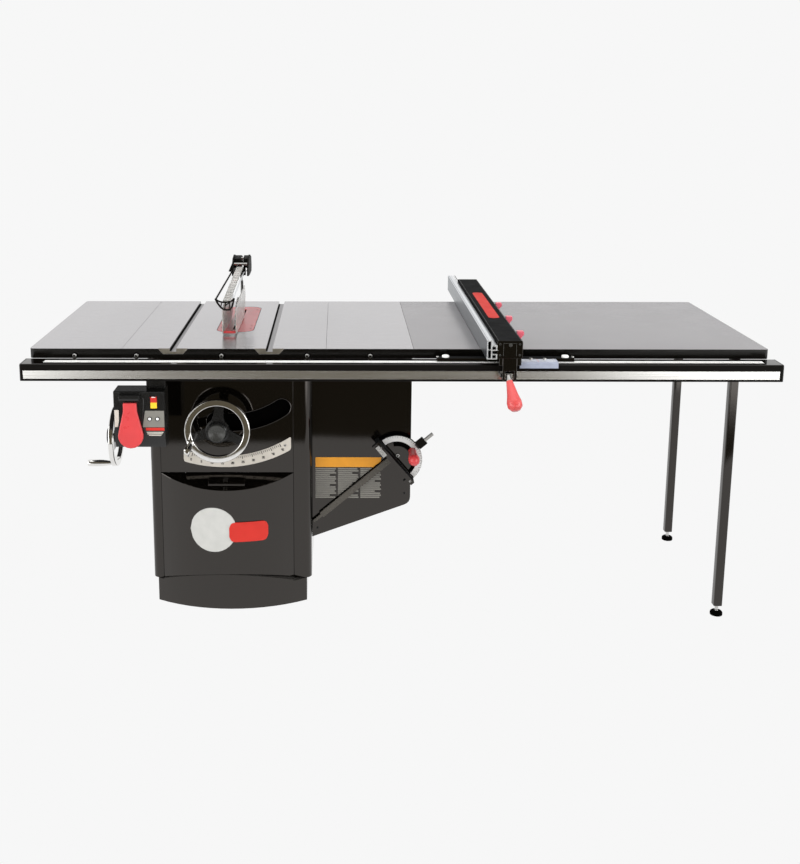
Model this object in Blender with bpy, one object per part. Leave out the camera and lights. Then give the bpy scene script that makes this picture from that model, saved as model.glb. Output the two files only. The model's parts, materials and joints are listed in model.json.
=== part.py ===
"""Cabinet table saw with a long extension table, T-square fence, blade guard and stored mitre gauge.

Everything is laid out from the table: X from the left end of the cast iron, Y from the front edge
of the table towards the back, Z up from the floor.  The last step moves it all so that the centre
of the cabinet's base stands on the origin.
"""
import math

import bmesh
import bpy
from mathutils import Matrix, Vector

# ---- overall sizes, metres ----
TOP = 0.8636            # working height
SLAB = 0.029            # thickness at the edges of every table
DEPTH = 0.762           # table depth, front to back
UNDER = TOP - SLAB
ORIGIN = Vector((0.567, 0.424, 0.0))

LEFT_END = 0.0
MAIN_L = 0.2700
MAIN_R = 0.8675
IRON_R = 1.1245
RIGHT_END = 2.1650
GAP = 0.0005
SLOT_X = (0.4190, 0.7010)
SLOT_W = 0.0191
SLOT_D = 0.0095
BOLT_R = 0.0055
BOLT_Z = 0.8425

BLADE_X = 0.5740
BLADE_R = 0.127
ARBOR_Y = 0.400
ARBOR_Z = TOP - 0.048   # blade fully raised, 79 mm above the table

CAB_L = 0.314
CAB_R = 0.820
CAB_F = 0.157
CAB_B = 0.690
FRONT_L = 0.348
FRONT_R = 0.763
SHEET = 0.003
STEP_Z = 0.075
BOW = 0.065             # how far the bowed front stands out in the middle

RAIL_L = -0.008
RAIL_R = 2.179
RAIL_F = -0.085
RAIL_B = -0.009
RAIL_TOP = 0.837
RAIL_BOT = 0.7862

PLINTH_L = 0.3295
PLINTH_R = 0.8045
PLINTH_B = 0.672
PLINTH_BOW = 0.067

WHEEL_R = 0.0895        # centre line of a handwheel rim
SPOKE = 0.013           # half width of a handwheel spoke
SHAFT_XZ = (0.5355, 0.5881)
TILT_YZ = (0.340, 0.4919)
TILT_X = 0.1743

# ---- scene set-up ----
for old in list(bpy.data.objects):
    bpy.data.objects.remove(old, do_unlink=True)
saw = bpy.data.collections.new("table_saw")
bpy.context.scene.collection.children.link(saw)

COLOURS = {
    "black": ((0.012, 0.011, 0.011, 1), 0.15, 0.0),
    "satin": ((0.03, 0.03, 0.03, 1), 0.4, 0.0),
    "iron": ((0.5, 0.49, 0.48, 1), 0.35, 1.0),
    "chrome": ((0.8, 0.8, 0.8, 1), 0.08, 1.0),
    "steel": ((0.6, 0.6, 0.6, 1), 0.3, 1.0),
    "alu": ((0.75, 0.76, 0.78, 1), 0.3, 1.0),
    "red": ((0.75, 0.05, 0.05, 1), 0.35, 0.0),
    "white": ((0.8, 0.79, 0.74, 1), 0.4, 0.0),
    "clear": ((0.85, 0.87, 0.88, 1), 0.1, 0.0),
    "grey": ((0.35, 0.35, 0.34, 1), 0.4, 0.0),
}


def material(name, kind):
    colour, rough, metal = COLOURS[kind]
    mat = bpy.data.materials.new(name)
    mat.use_nodes = True
    shader = mat.node_tree.nodes["Principled BSDF"]
    shader.inputs["Base Color"].default_value = colour
    shader.inputs["Roughness"].default_value = rough
    shader.inputs["Metallic"].default_value = metal
    mat.diffuse_color = colour
    return mat


def add(name, bm, kind, smooth=False):
    """Turn a bmesh into a named object of the saw."""
    bmesh.ops.remove_doubles(bm, verts=bm.verts, dist=1e-6)
    bmesh.ops.recalc_face_normals(bm, faces=bm.faces)
    mesh = bpy.data.meshes.new(name)
    bm.to_mesh(mesh)
    bm.free()
    obj = bpy.data.objects.new(name, mesh)
    saw.objects.link(obj)
    obj.data.materials.append(material(name, kind))
    if smooth:
        mesh.shade_smooth()
        mesh.set_sharp_from_angle(angle=math.radians(38))
    return obj


AXES = {
    "x": lambda p, h: (h, p[0], p[1]),
    "y": lambda p, h: (p[0], h, p[1]),
    "z": lambda p, h: (p[0], p[1], h),
}


def prism(name, points, axis, low, high, kind="black", smooth=False):
    """Extrude an outline along an axis: (y, z) for x, (x, z) for y, (x, y) for z."""
    bm = bmesh.new()
    place = AXES[axis]
    rings = [[bm.verts.new(place(p, h)) for p in points] for h in (low, high)]
    count = len(points)
    bm.faces.new(rings[0])
    bm.faces.new(rings[1])
    for i in range(count):
        j = (i + 1) % count
        bm.faces.new((rings[0][i], rings[0][j], rings[1][j], rings[1][i]))
    return add(name, bm, kind, smooth)


def box(name, low, high, kind="black"):
    outline = [(low[0], low[1]), (high[0], low[1]), (high[0], high[1]), (low[0], high[1])]
    return prism(name, outline, "z", low[2], high[2], kind)


def rounded(low, high, radius, steps=4, corners=(1, 1, 1, 1)):
    """Outline of a rectangle with some of its corners rounded, from the low corner anticlockwise."""
    spots = [
        (low[0], low[1], 180),
        (high[0], low[1], 270),
        (high[0], high[1], 0),
        (low[0], high[1], 90),
    ]
    points = []
    for (cx, cy, start), on in zip(spots, corners):
        if not on:
            points.append((cx, cy))
            continue
        ox = cx + radius * (1 if cx == low[0] else -1)
        oy = cy + radius * (1 if cy == low[1] else -1)
        for k in range(steps + 1):
            a = math.radians(start + 90 * k / steps)
            points.append((ox + radius * math.cos(a), oy + radius * math.sin(a)))
    return points


def lathe(name, profile, centre, axis, kind="black", steps=24, direction=1):
    """Revolve a closed (radius, height) profile about an axis through centre."""
    bm = bmesh.new()
    rings = []
    for r, h in profile:
        ring = []
        for k in range(steps):
            if r == 0 and k:
                break
            a = 2 * math.pi * k / steps
            u = r * math.cos(a)
            v = r * math.sin(a)
            w = h * direction
            spot = {"x": (w, u, v), "y": (u, w, v), "z": (u, v, w)}[axis]
            ring.append(bm.verts.new(Vector(spot) + Vector(centre)))
        rings.append(ring)
    count = len(rings)
    for i in range(count):
        a = rings[i]
        b = rings[(i + 1) % count]
        if len(a) == 1 and len(b) == 1:
            continue
        for k in range(steps):
            j = (k + 1) % steps
            if len(a) == 1:
                bm.faces.new((a[0], b[k], b[j]))
            elif len(b) == 1:
                bm.faces.new((a[k], a[j], b[0]))
            else:
                bm.faces.new((a[k], a[j], b[j], b[k]))
    return add(name, bm, kind, True)


def rod(name, start, end, r0, r1=None, kind="black", steps=12):
    """A straight round bar, or a cone, between two points."""
    r1 = r0 if r1 is None else r1
    start = Vector(start)
    end = Vector(end)
    along = (end - start).normalized()
    side = along.orthogonal().normalized()
    other = along.cross(side)
    bm = bmesh.new()
    rings = []
    for spot, r in ((start, r0), (end, r1)):
        angles = [2 * math.pi * k / steps for k in range(steps)]
        rings.append([bm.verts.new(spot + side * r * math.cos(a) + other * r * math.sin(a)) for a in angles])
    bm.faces.new(rings[0])
    bm.faces.new(rings[1])
    for k in range(steps):
        j = (k + 1) % steps
        bm.faces.new((rings[0][k], rings[0][j], rings[1][j], rings[1][k]))
    return add(name, bm, kind, True)


def combine(obj, other, operation):
    """Apply one exact Boolean and drop the other object."""
    mod = obj.modifiers.new("op", "BOOLEAN")
    mod.operation = operation
    mod.solver = "EXACT"
    mod.object = other
    bpy.context.view_layer.update()
    graph = bpy.context.evaluated_depsgraph_get()
    mesh = bpy.data.meshes.new_from_object(obj.evaluated_get(graph))
    obj.modifiers.clear()
    old = obj.data
    obj.data = mesh
    mesh.name = obj.name
    bpy.data.meshes.remove(old)
    while len(mesh.materials) > 1:
        mesh.materials.pop(index=len(mesh.materials) - 1)
    for face in mesh.polygons:
        face.material_index = 0
    bpy.data.objects.remove(other, do_unlink=True)
    return obj


def cut(obj, *others):
    for other in others:
        combine(obj, other, "DIFFERENCE")
    return obj


def join(obj, *others):
    for other in others:
        combine(obj, other, "UNION")
    return obj


def turn(obj, centre, axis, degrees):
    """Turn the mesh itself about a line through centre."""
    centre = Vector(centre)
    spin = Matrix.Rotation(math.radians(degrees), 4, axis)
    obj.data.transform(Matrix.Translation(centre) @ spin @ Matrix.Translation(-centre))
    return obj


# ---- tables ----
def slot_cut(x):
    return box("c", (x - SLOT_W / 2, -0.02, TOP - SLOT_D), (x + SLOT_W / 2, DEPTH + 0.02, TOP + 0.01))


def pad_cut(x):
    """The sloping notch in the front edge at the mouth of a tee slot."""
    above = TOP + 0.001
    below = TOP - 0.0165
    outline = [(x - 0.045, above), (x - 0.029, below), (x + 0.029, below), (x + 0.045, above)]
    return prism("c", outline, "y", -0.01, 0.003)


def bolt(x):
    return rod("b", (x, -0.001, BOLT_Z), (x, 0.004, BOLT_Z), BOLT_R, steps=12)


insert_outline = rounded((0.5200, 0.2360), (0.6360, 0.6540), 0.034, 5)
insert_inner = rounded((0.5290, 0.2450), (0.6270, 0.6450), 0.025, 4)
table_main = box("table_main", (MAIN_L, 0, UNDER), (MAIN_R, DEPTH, TOP), "iron")
cut(table_main, prism("c", insert_outline, "z", TOP - 0.0050, TOP + 0.01))
cut(table_main, prism("c", insert_inner, "z", UNDER - 0.01, TOP + 0.005))
for x in SLOT_X:
    cut(table_main, slot_cut(x))
    cut(table_main, pad_cut(x))
for x in (0.312, 0.561, 0.812):
    join(table_main, bolt(x))

left_outline = rounded((LEFT_END, 0), (MAIN_L - GAP, DEPTH), 0.012, 4, (1, 0, 0, 1))
wing_left = prism("wing_left", left_outline, "z", UNDER, TOP, "iron", True)
join(wing_left, bolt(0.131))
wing_right = box("wing_right", (MAIN_R + GAP, 0, UNDER), (IRON_R - GAP, DEPTH, TOP), "iron")
join(wing_right, bolt(0.997))
right_outline = rounded((IRON_R, 0), (RIGHT_END, DEPTH), 0.010, 4, (0, 1, 1, 0))
extension = prism("extension_table", right_outline, "z", UNDER, TOP, "satin", True)

# ---- throat insert and its lifting tab ----
inner = rounded((0.5206, 0.2366), (0.6354, 0.6534), 0.0335, 5)
insert = prism("throat_insert", inner, "z", TOP - 0.0046, TOP, "red")
cut(insert, box("c", (BLADE_X - 0.005, 0.268, TOP - 0.02), (BLADE_X + 0.013, 0.610, TOP + 0.02)))
cut(insert, box("c", (0.5360, 0.2420, TOP - 0.02), (0.5640, 0.2760, TOP + 0.02)))
tab = box("insert_tab", (0.5366, 0.2426, TOP - 0.0040), (0.5634, 0.2754, TOP + 0.0008), "red")

# ---- front and rear rails ----
rail_outline = rounded((RAIL_F, RAIL_BOT), (RAIL_B, RAIL_TOP), 0.005, 3)
rail = prism("front_rail", rail_outline, "x", RAIL_L + 0.003, RAIL_R - 0.003, "black", True)
hollow = rounded((RAIL_F + 0.004, RAIL_BOT + 0.004), (RAIL_B - 0.004, RAIL_TOP - 0.004), 0.0025, 2)
cut(rail, prism("c", hollow, "x", RAIL_L - 0.1, RAIL_R + 0.1))
for side, x0, inward in (("left", RAIL_L, 1), ("right", RAIL_R, -1)):
    flange = sorted((x0, x0 + inward * 0.0026))
    outer = prism("rail_cap_" + side, rail_outline, "x", flange[0], flange[1], "satin")
    plug = rounded((RAIL_F + 0.0045, RAIL_BOT + 0.0045), (RAIL_B - 0.0045, RAIL_TOP - 0.0045), 0.002, 2)
    ends = sorted((x0 + inward * 0.002, x0 + inward * 0.016))
    join(outer, prism("p", plug, "x", ends[0], ends[1]))
trim = box("rail_trim", (0.0015, RAIL_F - 0.0016, 0.7945), (2.1675, RAIL_F - 0.0004, 0.8185), "alu")
tape = box("rail_tape", (0.055, -0.0620, RAIL_TOP + 0.0003), (2.130, -0.0400, RAIL_TOP + 0.0010), "white")
angle = box("rail_angle", (0.004, -0.0086, 0.7900), (2.160, -0.0004, UNDER - 0.0005), "black")
rear_outline = [
    (DEPTH + 0.0004, 0.794), (0.815, 0.794), (0.815, 0.799),
    (DEPTH + 0.0054, 0.799), (DEPTH + 0.0054, UNDER), (DEPTH + 0.0004, UNDER)]
rear_rail = prism("rear_rail", rear_outline, "x", 0.0, 2.165, "black")

# ---- legs of the extension table, with their levelling feet ----
TUBE = 0.0135           # half the width of a leg
LEG_BOT = 0.033
foot_profile = [
    (0, 0), (0.0190, 0), (0.0190, 0.009), (0.0150, 0.013), (0.0055, 0.014), (0.0055, 0.040), (0, 0.040)]
for name, x, y in (("leg_front", 2.0880, 0.0575), ("leg_rear", 2.1080, 0.6570)):
    outline = rounded((x - TUBE, y - TUBE), (x + TUBE, y + TUBE), 0.004, 2)
    leg = prism(name, outline, "z", LEG_BOT, UNDER - 0.0004, "black", True)
    join(leg, lathe("f", foot_profile, (x, y, 0), "z", "steel", 20))
    join(leg, box("p", (x - 0.035, y - 0.028, UNDER - 0.0045), (x + 0.035, y + 0.045, UNDER - 0.0004)))


# ---- cabinet ----
def bow_points(x0, x1, y_side, rise, count=14):
    """Points of a shallow arc from left to right that stands out to the front in the middle."""
    half = (x1 - x0) / 2
    radius = (half * half + rise * rise) / (2 * rise)
    mid = (x0 + x1) / 2
    points = []
    for k in range(count + 1):
        x = x0 + (x1 - x0) * k / count
        drop = math.sqrt(radius * radius - (x - mid) ** 2) - (radius - rise)
        points.append((x, y_side - drop))
    return points


plinth_front = bow_points(PLINTH_L, PLINTH_R, CAB_F, PLINTH_BOW)
plinth_outline = plinth_front + [(PLINTH_R, PLINTH_B), (PLINTH_L, PLINTH_B)]
plinth = prism("plinth", plinth_outline, "z", 0.0, STEP_Z, "black", True)
lip = prism("lip", plinth_front, "z", STEP_Z - 0.003, 0.125, "black", True)
arch = []
for k in range(17):
    t = -1 + 2 * k / 16
    arch.append((0.5555 + 0.2070 * t, 0.0785 + 0.036 * (1 - t * t)))
LIP_LOW = STEP_Z + 0.0002
arch_block = [(0.30, 0.20), (0.30, LIP_LOW), (0.3484, LIP_LOW)] + arch
arch_block += [(0.7626, LIP_LOW), (0.85, LIP_LOW), (0.85, 0.20)]
cut(lip, prism("c", arch_block, "y", 0.0, 0.3))
join(plinth, lip)
WALL = 0.004
tray = bow_points(PLINTH_L + WALL, PLINTH_R - WALL, CAB_F + 0.006, PLINTH_BOW - 0.001)
tray += [(PLINTH_R - WALL, PLINTH_B - WALL), (PLINTH_L + WALL, PLINTH_B - WALL)]
cut(plinth, prism("c", tray, "z", 0.005, 0.3))


def side_wall(name, x_out, x_in):
    """One side of the cabinet: a sheet with a rounded corner column in front and a return behind."""
    s = 1 if x_in > x_out else -1
    r = 0.022

    def corner(cy, start, end, radius):
        cx = x_out + s * r
        turns = [math.radians(start + (end - start) * k / 5) for k in range(6)]
        return [(cx - s * radius * math.cos(t), cy + radius * math.sin(t)) for t in turns]

    outer = [(x_in, CAB_F)] + corner(CAB_F + r, -90, 0, r) + corner(CAB_B - r, 0, 90, r) + [(x_in, CAB_B)]
    inside = [(x_in, CAB_B - SHEET)]
    inside += corner(CAB_B - r, 90, 0, r - SHEET) + corner(CAB_F + r, 0, -90, r - SHEET)
    inside += [(x_in, CAB_F + SHEET)]
    return prism(name, outer + inside, "z", STEP_Z + GAP, UNDER - GAP, "black", True)


cab_left = side_wall("cabinet_left", CAB_L, FRONT_L - GAP)
cut(cab_left, rod("c", (0.30, *TILT_YZ), (0.34, *TILT_YZ), 0.0115, steps=20))
cab_right = side_wall("cabinet_right", CAB_R, FRONT_R + GAP)
cut(cab_right, prism("c", rounded((0.290, 0.375), (0.615, 0.786), 0.02, 3), "x", 0.81, 0.83))
for wall, x0, x1 in ((cab_left, CAB_L + 0.002, 0.332), (cab_right, 0.802, CAB_R - 0.002)):
    join(wall, box("f", (x0, CAB_F + 0.023, STEP_Z + GAP), (x1, CAB_B - 0.023, STEP_Z + GAP + 0.003)))

PIVOT = (BLADE_X, TOP)
SLOT_MID = 0.2705       # radius of the middle of the curved slot the elevation shaft swings in
SLOT_HALF = 0.0275
SLOT_ENDS = (-11.0, 34.8)


def polar(centre, radius, degrees):
    """A point at an angle from straight down, turning towards +X."""
    a = math.radians(degrees)
    return (centre[0] + radius * math.sin(a), centre[1] - radius * math.cos(a))


def sweep(centre, radius, start, end, steps):
    return [polar(centre, radius, start + (end - start) * k / steps) for k in range(steps + 1)]


front = box("front_panel", (FRONT_L, CAB_F, 0.4290), (FRONT_R, CAB_F + SHEET, UNDER - GAP), "black")
first, last = SLOT_ENDS
slot_outline = sweep(PIVOT, SLOT_MID + SLOT_HALF, first, last, 12)
slot_outline += sweep(polar(PIVOT, SLOT_MID, last), SLOT_HALF, last, last + 180, 8)[1:-1]
slot_outline += sweep(PIVOT, SLOT_MID - SLOT_HALF, last, first, 12)
slot_outline += sweep(polar(PIVOT, SLOT_MID, first), SLOT_HALF, first + 180, first + 360, 8)[1:-1]
cut(front, prism("c", slot_outline, "y", 0.1, 0.2))

back = box("cabinet_back", (FRONT_L, CAB_B - SHEET, STEP_Z + GAP), (FRONT_R, CAB_B, UNDER - GAP), "black")
PORT = (0.567, 0.190)
cut(back, rod("c", (PORT[0], 0.6, PORT[1]), (PORT[0], 0.8, PORT[1]), 0.0500, steps=28))
port_profile = [
    (0.0478, 0.0), (0.0720, 0.0), (0.0720, 0.0025), (0.0508, 0.0025), (0.0508, 0.055), (0.0478, 0.055)]
port = lathe("dust_port", port_profile, (PORT[0], CAB_B + 0.0004, PORT[1]), "y", "black", 28)

# bowed lower front: a shell that lifts off, with a sloping scoop along its top edge
door_outline = bow_points(FRONT_L + 0.0004, FRONT_R - 0.0004, CAB_F, BOW)
door = prism("front_door", door_outline, "z", 0.070, 0.440, "black", True)
slope = [(0.0, 0.3420), (CAB_F, 0.4265), (CAB_F + 0.1, 0.4265), (CAB_F + 0.1, 0.60), (0.0, 0.60)]
cut(door, prism("c", slope, "x", 0.30, 0.82))
door_inner = bow_points(FRONT_L + 0.0040, FRONT_R - 0.0040, CAB_F + 0.004, BOW)
inner_block = prism("c", door_inner, "z", 0.050, 0.440)
slope_in = [(0.0, 0.3385), (CAB_F, 0.4230), (CAB_F + 0.1, 0.4230), (CAB_F + 0.1, 0.60), (0.0, 0.60)]
cut(inner_block, prism("c2", slope_in, "x", 0.30, 0.82))
cut(door, inner_block)
arch_low = [(0.30, 0.0793)] + [(x, z + 0.0008) for x, z in arch] + [(0.80, 0.0793), (0.80, 0.02), (0.30, 0.02)]
cut(door, prism("c", arch_low, "y", 0.0, 0.3))
pull_outline = [(0.1085, 0.4015), (0.1085, 0.4080), (0.1240, 0.4160), (0.1440, 0.4260), (0.1440, 0.4205)]
prism("door_pull", pull_outline, "x", 0.500, 0.614, "satin")

# tilt scale on the upper front: an arc strip cut off upright at both ends
SCALE_C = (0.545, TOP)
SCALE_OUT = 0.4165
SCALE_IN = 0.3805
SCALE_ENDS = (0.4204, 0.7563)


def scale_arc(radius, steps=16):
    ends = [math.degrees(math.asin((x - SCALE_C[0]) / radius)) for x in SCALE_ENDS]
    return sweep(SCALE_C, radius, ends[0], ends[1], steps)


scale_outline = scale_arc(SCALE_OUT) + scale_arc(SCALE_IN)[::-1]
prism("tilt_scale", scale_outline, "y", CAB_F - 0.0018, CAB_F - 0.0004, "white")

# ---- switch box under the left of the rail ----
switch_outline = [
    (-0.050, 0.607), (-0.050, 0.7450), (-0.048, 0.7470), (0.022, 0.7470), (0.022, 0.574), (-0.034, 0.574)]
switch = prism("switch_box", switch_outline, "x", 0.2495, 0.3975, "satin")
hood_outline = [
    (-0.051, 0.7215), (-0.066, 0.7235), (-0.068, 0.7300), (-0.064, 0.7380), (-0.049, 0.7420), (-0.045, 0.7300)]
join(switch, prism("h", hood_outline, "x", 0.2680, 0.3260))
join(switch, box("h", (0.3400, -0.012, 0.7400), (0.3950, 0.012, RAIL_BOT - 0.0004)))
cut(switch, box("c", (0.3565, -0.060, 0.6945), (0.3765, -0.0405, 0.7335)))
paddle_outline = [(0.2790, 0.7150), (0.3180, 0.7150), (0.3185, 0.6900)]
for k in range(13):
    a = math.radians(22 - 224 * k / 12)
    paddle_outline.append((0.2985 + 0.0370 * math.cos(a), 0.6160 + 0.0380 * math.sin(a)))
paddle_outline.append((0.2785, 0.6900))
prism("stop_paddle", paddle_outline, "y", -0.0640, -0.0515, "red", True)
rocker_outline = [(-0.0440, 0.6965), (-0.0530, 0.6965), (-0.0510, 0.7140), (-0.0530, 0.7315), (-0.0440, 0.7315)]
prism("power_rocker", rocker_outline, "x", 0.3572, 0.3758, "red")
box("status_panel", (0.3405, -0.0518, 0.6400), (0.3965, -0.0504, 0.6895), "grey")


# ---- handwheels ----
def spot(centre, axis, r, degrees, h, out):
    """A point at a radius and angle about a handwheel's axis, h along its outward direction."""
    a = math.radians(degrees)
    u = r * math.cos(a)
    v = r * math.sin(a)
    local = {"y": (u, h * out, v), "x": (h * out, u, v)}[axis]
    return Vector(centre) + Vector(local)


def spoke(centre, axis, degrees, out):
    """A flat spoke from the hub to the rim, as a prism along the wheel's own axis."""
    a = math.radians(degrees)
    outline = []
    for r, side in ((0.010, -SPOKE - 0.001), (0.085, -SPOKE), (0.085, SPOKE), (0.010, SPOKE + 0.001)):
        u = r * math.cos(a) - side * math.sin(a)
        v = r * math.sin(a) + side * math.cos(a)
        outline.append((centre[0] + u, centre[2] + v) if axis == "y" else (centre[1] + u, centre[2] + v))
    at = centre[1] if axis == "y" else centre[0]
    ends = sorted((at - 0.005 * out, at + 0.003 * out))
    return prism("a", outline, axis, ends[0], ends[1])


SPOKES = (85, 195, 337)
RIM = [
    (0.0105, -0.0045), (0.0105, 0.0045), (0.0075, 0.0080), (-0.0075, 0.0080),
    (-0.0105, 0.0045), (-0.0105, -0.0045), (-0.0075, -0.0080), (0.0075, -0.0080)]
HUB_PROFILE = [(0, -0.022), (0.016, -0.022), (0.025, -0.006), (0.026, 0.010), (0.024, 0.014), (0, 0.014)]
CRANK = [
    (0, 0), (0.0070, 0), (0.0085, 0.006), (0.0112, 0.034),
    (0.0112, 0.066), (0.0095, 0.080), (0.004, 0.084), (0, 0.084)]
LOCK = [(0, 0), (0.0260, 0), (0.0275, 0.004), (0.0250, 0.012), (0.0190, 0.015), (0, 0.015)]


def handwheel(name, centre, axis, out, crank_angle, shaft_end):
    ring = [(WHEEL_R + r, h) for r, h in RIM]
    wheel = lathe(name, ring, centre, axis, "chrome", 40)
    hub = lathe("h", HUB_PROFILE, centre, axis, "black", 20, out)
    for degrees in SPOKES:
        join(hub, spoke(centre, axis, degrees, out))
    join(wheel, hub)
    inner_end = spot(centre, axis, 0, 0, -0.020, out)
    join(wheel, rod("s", inner_end, spot(centre, axis, 0, 0, -shaft_end, out), 0.0080, steps=16))
    base = spot(centre, axis, WHEEL_R, crank_angle, 0.0085, out)
    lathe(name.replace("wheel", "crank"), CRANK, base, axis, "chrome", 16, out)
    cap = spot(centre, axis, 0, 0, 0.0145, out)
    lathe(name.replace("wheel", "lock_knob"), LOCK, cap, axis, "satin", 20, out)


ELEV_C = (SHAFT_XZ[0], 0.080, SHAFT_XZ[1])
TILT_C = (TILT_X, TILT_YZ[0], TILT_YZ[1])
handwheel("elevation_wheel", ELEV_C, "y", -1, 204, 0.1185)
handwheel("tilt_wheel", TILT_C, "x", -1, 256, 0.1560)


# ---- trunnion, rising carriage, motor and blade ----
def local(x, z):
    """A point given from the tilt pivot."""
    return (BLADE_X + x, TOP + z)


plate = [
    local(-0.120, -0.055), local(-0.010, -0.055), local(0.028, -0.090), local(0.028, -0.265),
    local(-0.004, -0.302), local(-0.090, -0.302), local(-0.120, -0.270)]
web = [local(-0.120, -0.055), local(-0.108, -0.055), local(-0.108, -0.270), local(-0.120, -0.270)]
trunnion = prism("trunnion", plate, "y", 0.2000, 0.2120, "satin")
join(trunnion, prism("p", plate, "y", 0.6080, 0.6200, "satin"))
join(trunnion, prism("p", web, "y", 0.2100, 0.6100))

arbor_x0 = BLADE_X - 0.100
AXLE = (ARBOR_Y, ARBOR_Z)
arbor_block = rod("arbor_block", (arbor_x0, *AXLE), (BLADE_X - 0.056, *AXLE), 0.0155, kind="steel", steps=20)
bracket = [
    (0.388, ARBOR_Z - 0.006), (0.412, ARBOR_Z - 0.006), (0.532, 0.560),
    (0.532, 0.488), (0.512, 0.488), (0.430, 0.640)]
join(arbor_block, prism("b", bracket, "x", arbor_x0 + 0.004, arbor_x0 + 0.014))
cut(arbor_block, rod("c", (arbor_x0 - 0.01, *AXLE), (BLADE_X, *AXLE), 0.0085, steps=20))

MOTOR_Y = 0.470
MOTOR_Z = TOP - 0.345
motor_profile = [
    (0, -0.026), (0.0080, -0.026), (0.0080, -0.0240), (0.0300, -0.0240), (0.0300, -0.0120), (0.0080, -0.0120),
    (0.0080, 0), (0.050, 0), (0.064, 0.006), (0.070, 0.014),
    (0.070, 0.150), (0.062, 0.168), (0.045, 0.176), (0, 0.176)]
motor = lathe("motor", motor_profile, (BLADE_X - 0.028, MOTOR_Y, MOTOR_Z), "x", "grey", 28)
foot_low = (arbor_x0 + 0.0145, MOTOR_Y + 0.045, MOTOR_Z - 0.030)
join(motor, box("m", foot_low, (BLADE_X + 0.020, MOTOR_Y + 0.060, MOTOR_Z + 0.030)))


def loop(r_top, r_low):
    """Outline of a belt's run round the arbor pulley above and the motor pulley below."""
    dy = MOTOR_Y - ARBOR_Y
    dz = MOTOR_Z - ARBOR_Z
    lean = math.atan2(dz, dy)
    wrap = math.acos((r_top - r_low) / math.hypot(dy, dz))
    points = []
    for k in range(11):
        a = lean + wrap + (2 * math.pi - 2 * wrap) * k / 10
        points.append((ARBOR_Y + r_top * math.cos(a), ARBOR_Z + r_top * math.sin(a)))
    for k in range(13):
        a = lean - wrap + 2 * wrap * k / 12
        points.append((MOTOR_Y + r_low * math.cos(a), MOTOR_Z + r_low * math.sin(a)))
    return points


belt = prism("drive_belt", loop(0.0162, 0.0342), "x", BLADE_X - 0.0515, BLADE_X - 0.0405, "satin", True)
cut(belt, prism("c", loop(0.0124, 0.0304), "x", BLADE_X - 0.1, BLADE_X))

blade_steps = 40
tooth = []
for k in range(blade_steps):
    a = 2 * math.pi * k / blade_steps
    b = 2 * math.pi * (k + 0.35) / blade_steps
    root = BLADE_R - 0.007
    tooth.append((ARBOR_Y + root * math.cos(a), ARBOR_Z + root * math.sin(a)))
    tooth.append((ARBOR_Y + BLADE_R * math.cos(b), ARBOR_Z + BLADE_R * math.sin(b)))
blade = prism("blade", tooth, "x", BLADE_X - 0.0012, BLADE_X + 0.0012, "steel")
cut(blade, rod("c", (BLADE_X - 0.1, *AXLE), (BLADE_X + 0.1, *AXLE), 0.0083, steps=16))
arbor_profile = [
    (0, -0.106), (0.0078, -0.106), (0.0078, -0.0540), (0.0120, -0.0540), (0.0120, -0.0380), (0.0078, -0.0380),
    (0.0078, -0.0100), (0.0240, -0.0100), (0.0240, -0.0016), (0.0079, -0.0016), (0.0079, 0.0016),
    (0.0240, 0.0016), (0.0240, 0.0050), (0.0110, 0.0060), (0.0110, 0.0150), (0, 0.0150)]
lathe("arbor", arbor_profile, (BLADE_X, ARBOR_Y, ARBOR_Z), "x", "steel", 20)
knife = [
    (0.5400, 0.700), (0.5980, 0.700), (0.5980, 1.0200), (0.5900, 1.0280), (0.5640, 1.0280), (0.5500, 0.990),
    (0.5380, 0.930), (0.5360, 0.870), (0.5380, 0.780)]
prism("riving_knife", knife, "x", BLADE_X - 0.0011, BLADE_X + 0.0011, "steel")
pawl_outline = [
    (0.5700, 0.9700), (0.5800, 0.9700), (0.5860, 0.9480), (0.5800, 0.9380),
    (0.5780, 0.9430), (0.5740, 0.9380), (0.5720, 0.9480)]
prism("pawl", pawl_outline, "x", BLADE_X + 0.0016, BLADE_X + 0.0044, "satin")
box("brake_cartridge", (BLADE_X - 0.030, 0.5400, 0.640), (BLADE_X + 0.006, 0.5980, 0.694), "alu")

# ---- blade guard ----
GX = 0.572
head_outline = [
    (0.560, 0.984), (0.690, 0.984), (0.700, 1.000), (0.694, 1.040),
    (0.640, 1.052), (0.585, 1.046), (0.560, 1.020)]
guard = prism("guard_frame", head_outline, "x", GX - 0.0300, GX + 0.0270, "black")
cut(guard, box("c", (BLADE_X - 0.0035, 0.50, 0.95), (BLADE_X + 0.0035, 0.650, 1.036)))
nose_out = [
    (0.5270, 0.9830), (0.5330, 0.9860), (0.5940, 0.9860), (0.6000, 0.9830), (0.5840, 0.9500), (0.5560, 0.9500)]
nose_in = [(0.5385, 0.9770), (0.5900, 0.9770), (0.5790, 0.9550), (0.5600, 0.9550)]
nose = prism("n", nose_out, "y", 0.1550, 0.1620)
cut(nose, prism("c", nose_in, "y", 0.10, 0.20))
join(nose, prism("n", [(0.566, 0.952), (0.569, 0.952), (0.561, 0.980), (0.558, 0.980)], "y", 0.1560, 0.1610))
join(nose, prism("n", [(0.574, 0.952), (0.577, 0.952), (0.581, 0.980), (0.578, 0.980)], "y", 0.1560, 0.1610))
join(guard, rod("r", (0.5440, 0.575, 1.005), (0.5310, 0.158, 0.9825), 0.0026, steps=8))
join(guard, rod("r", (0.5965, 0.575, 1.005), (0.5965, 0.158, 0.9825), 0.0026, steps=8))
join(guard, nose)
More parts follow.
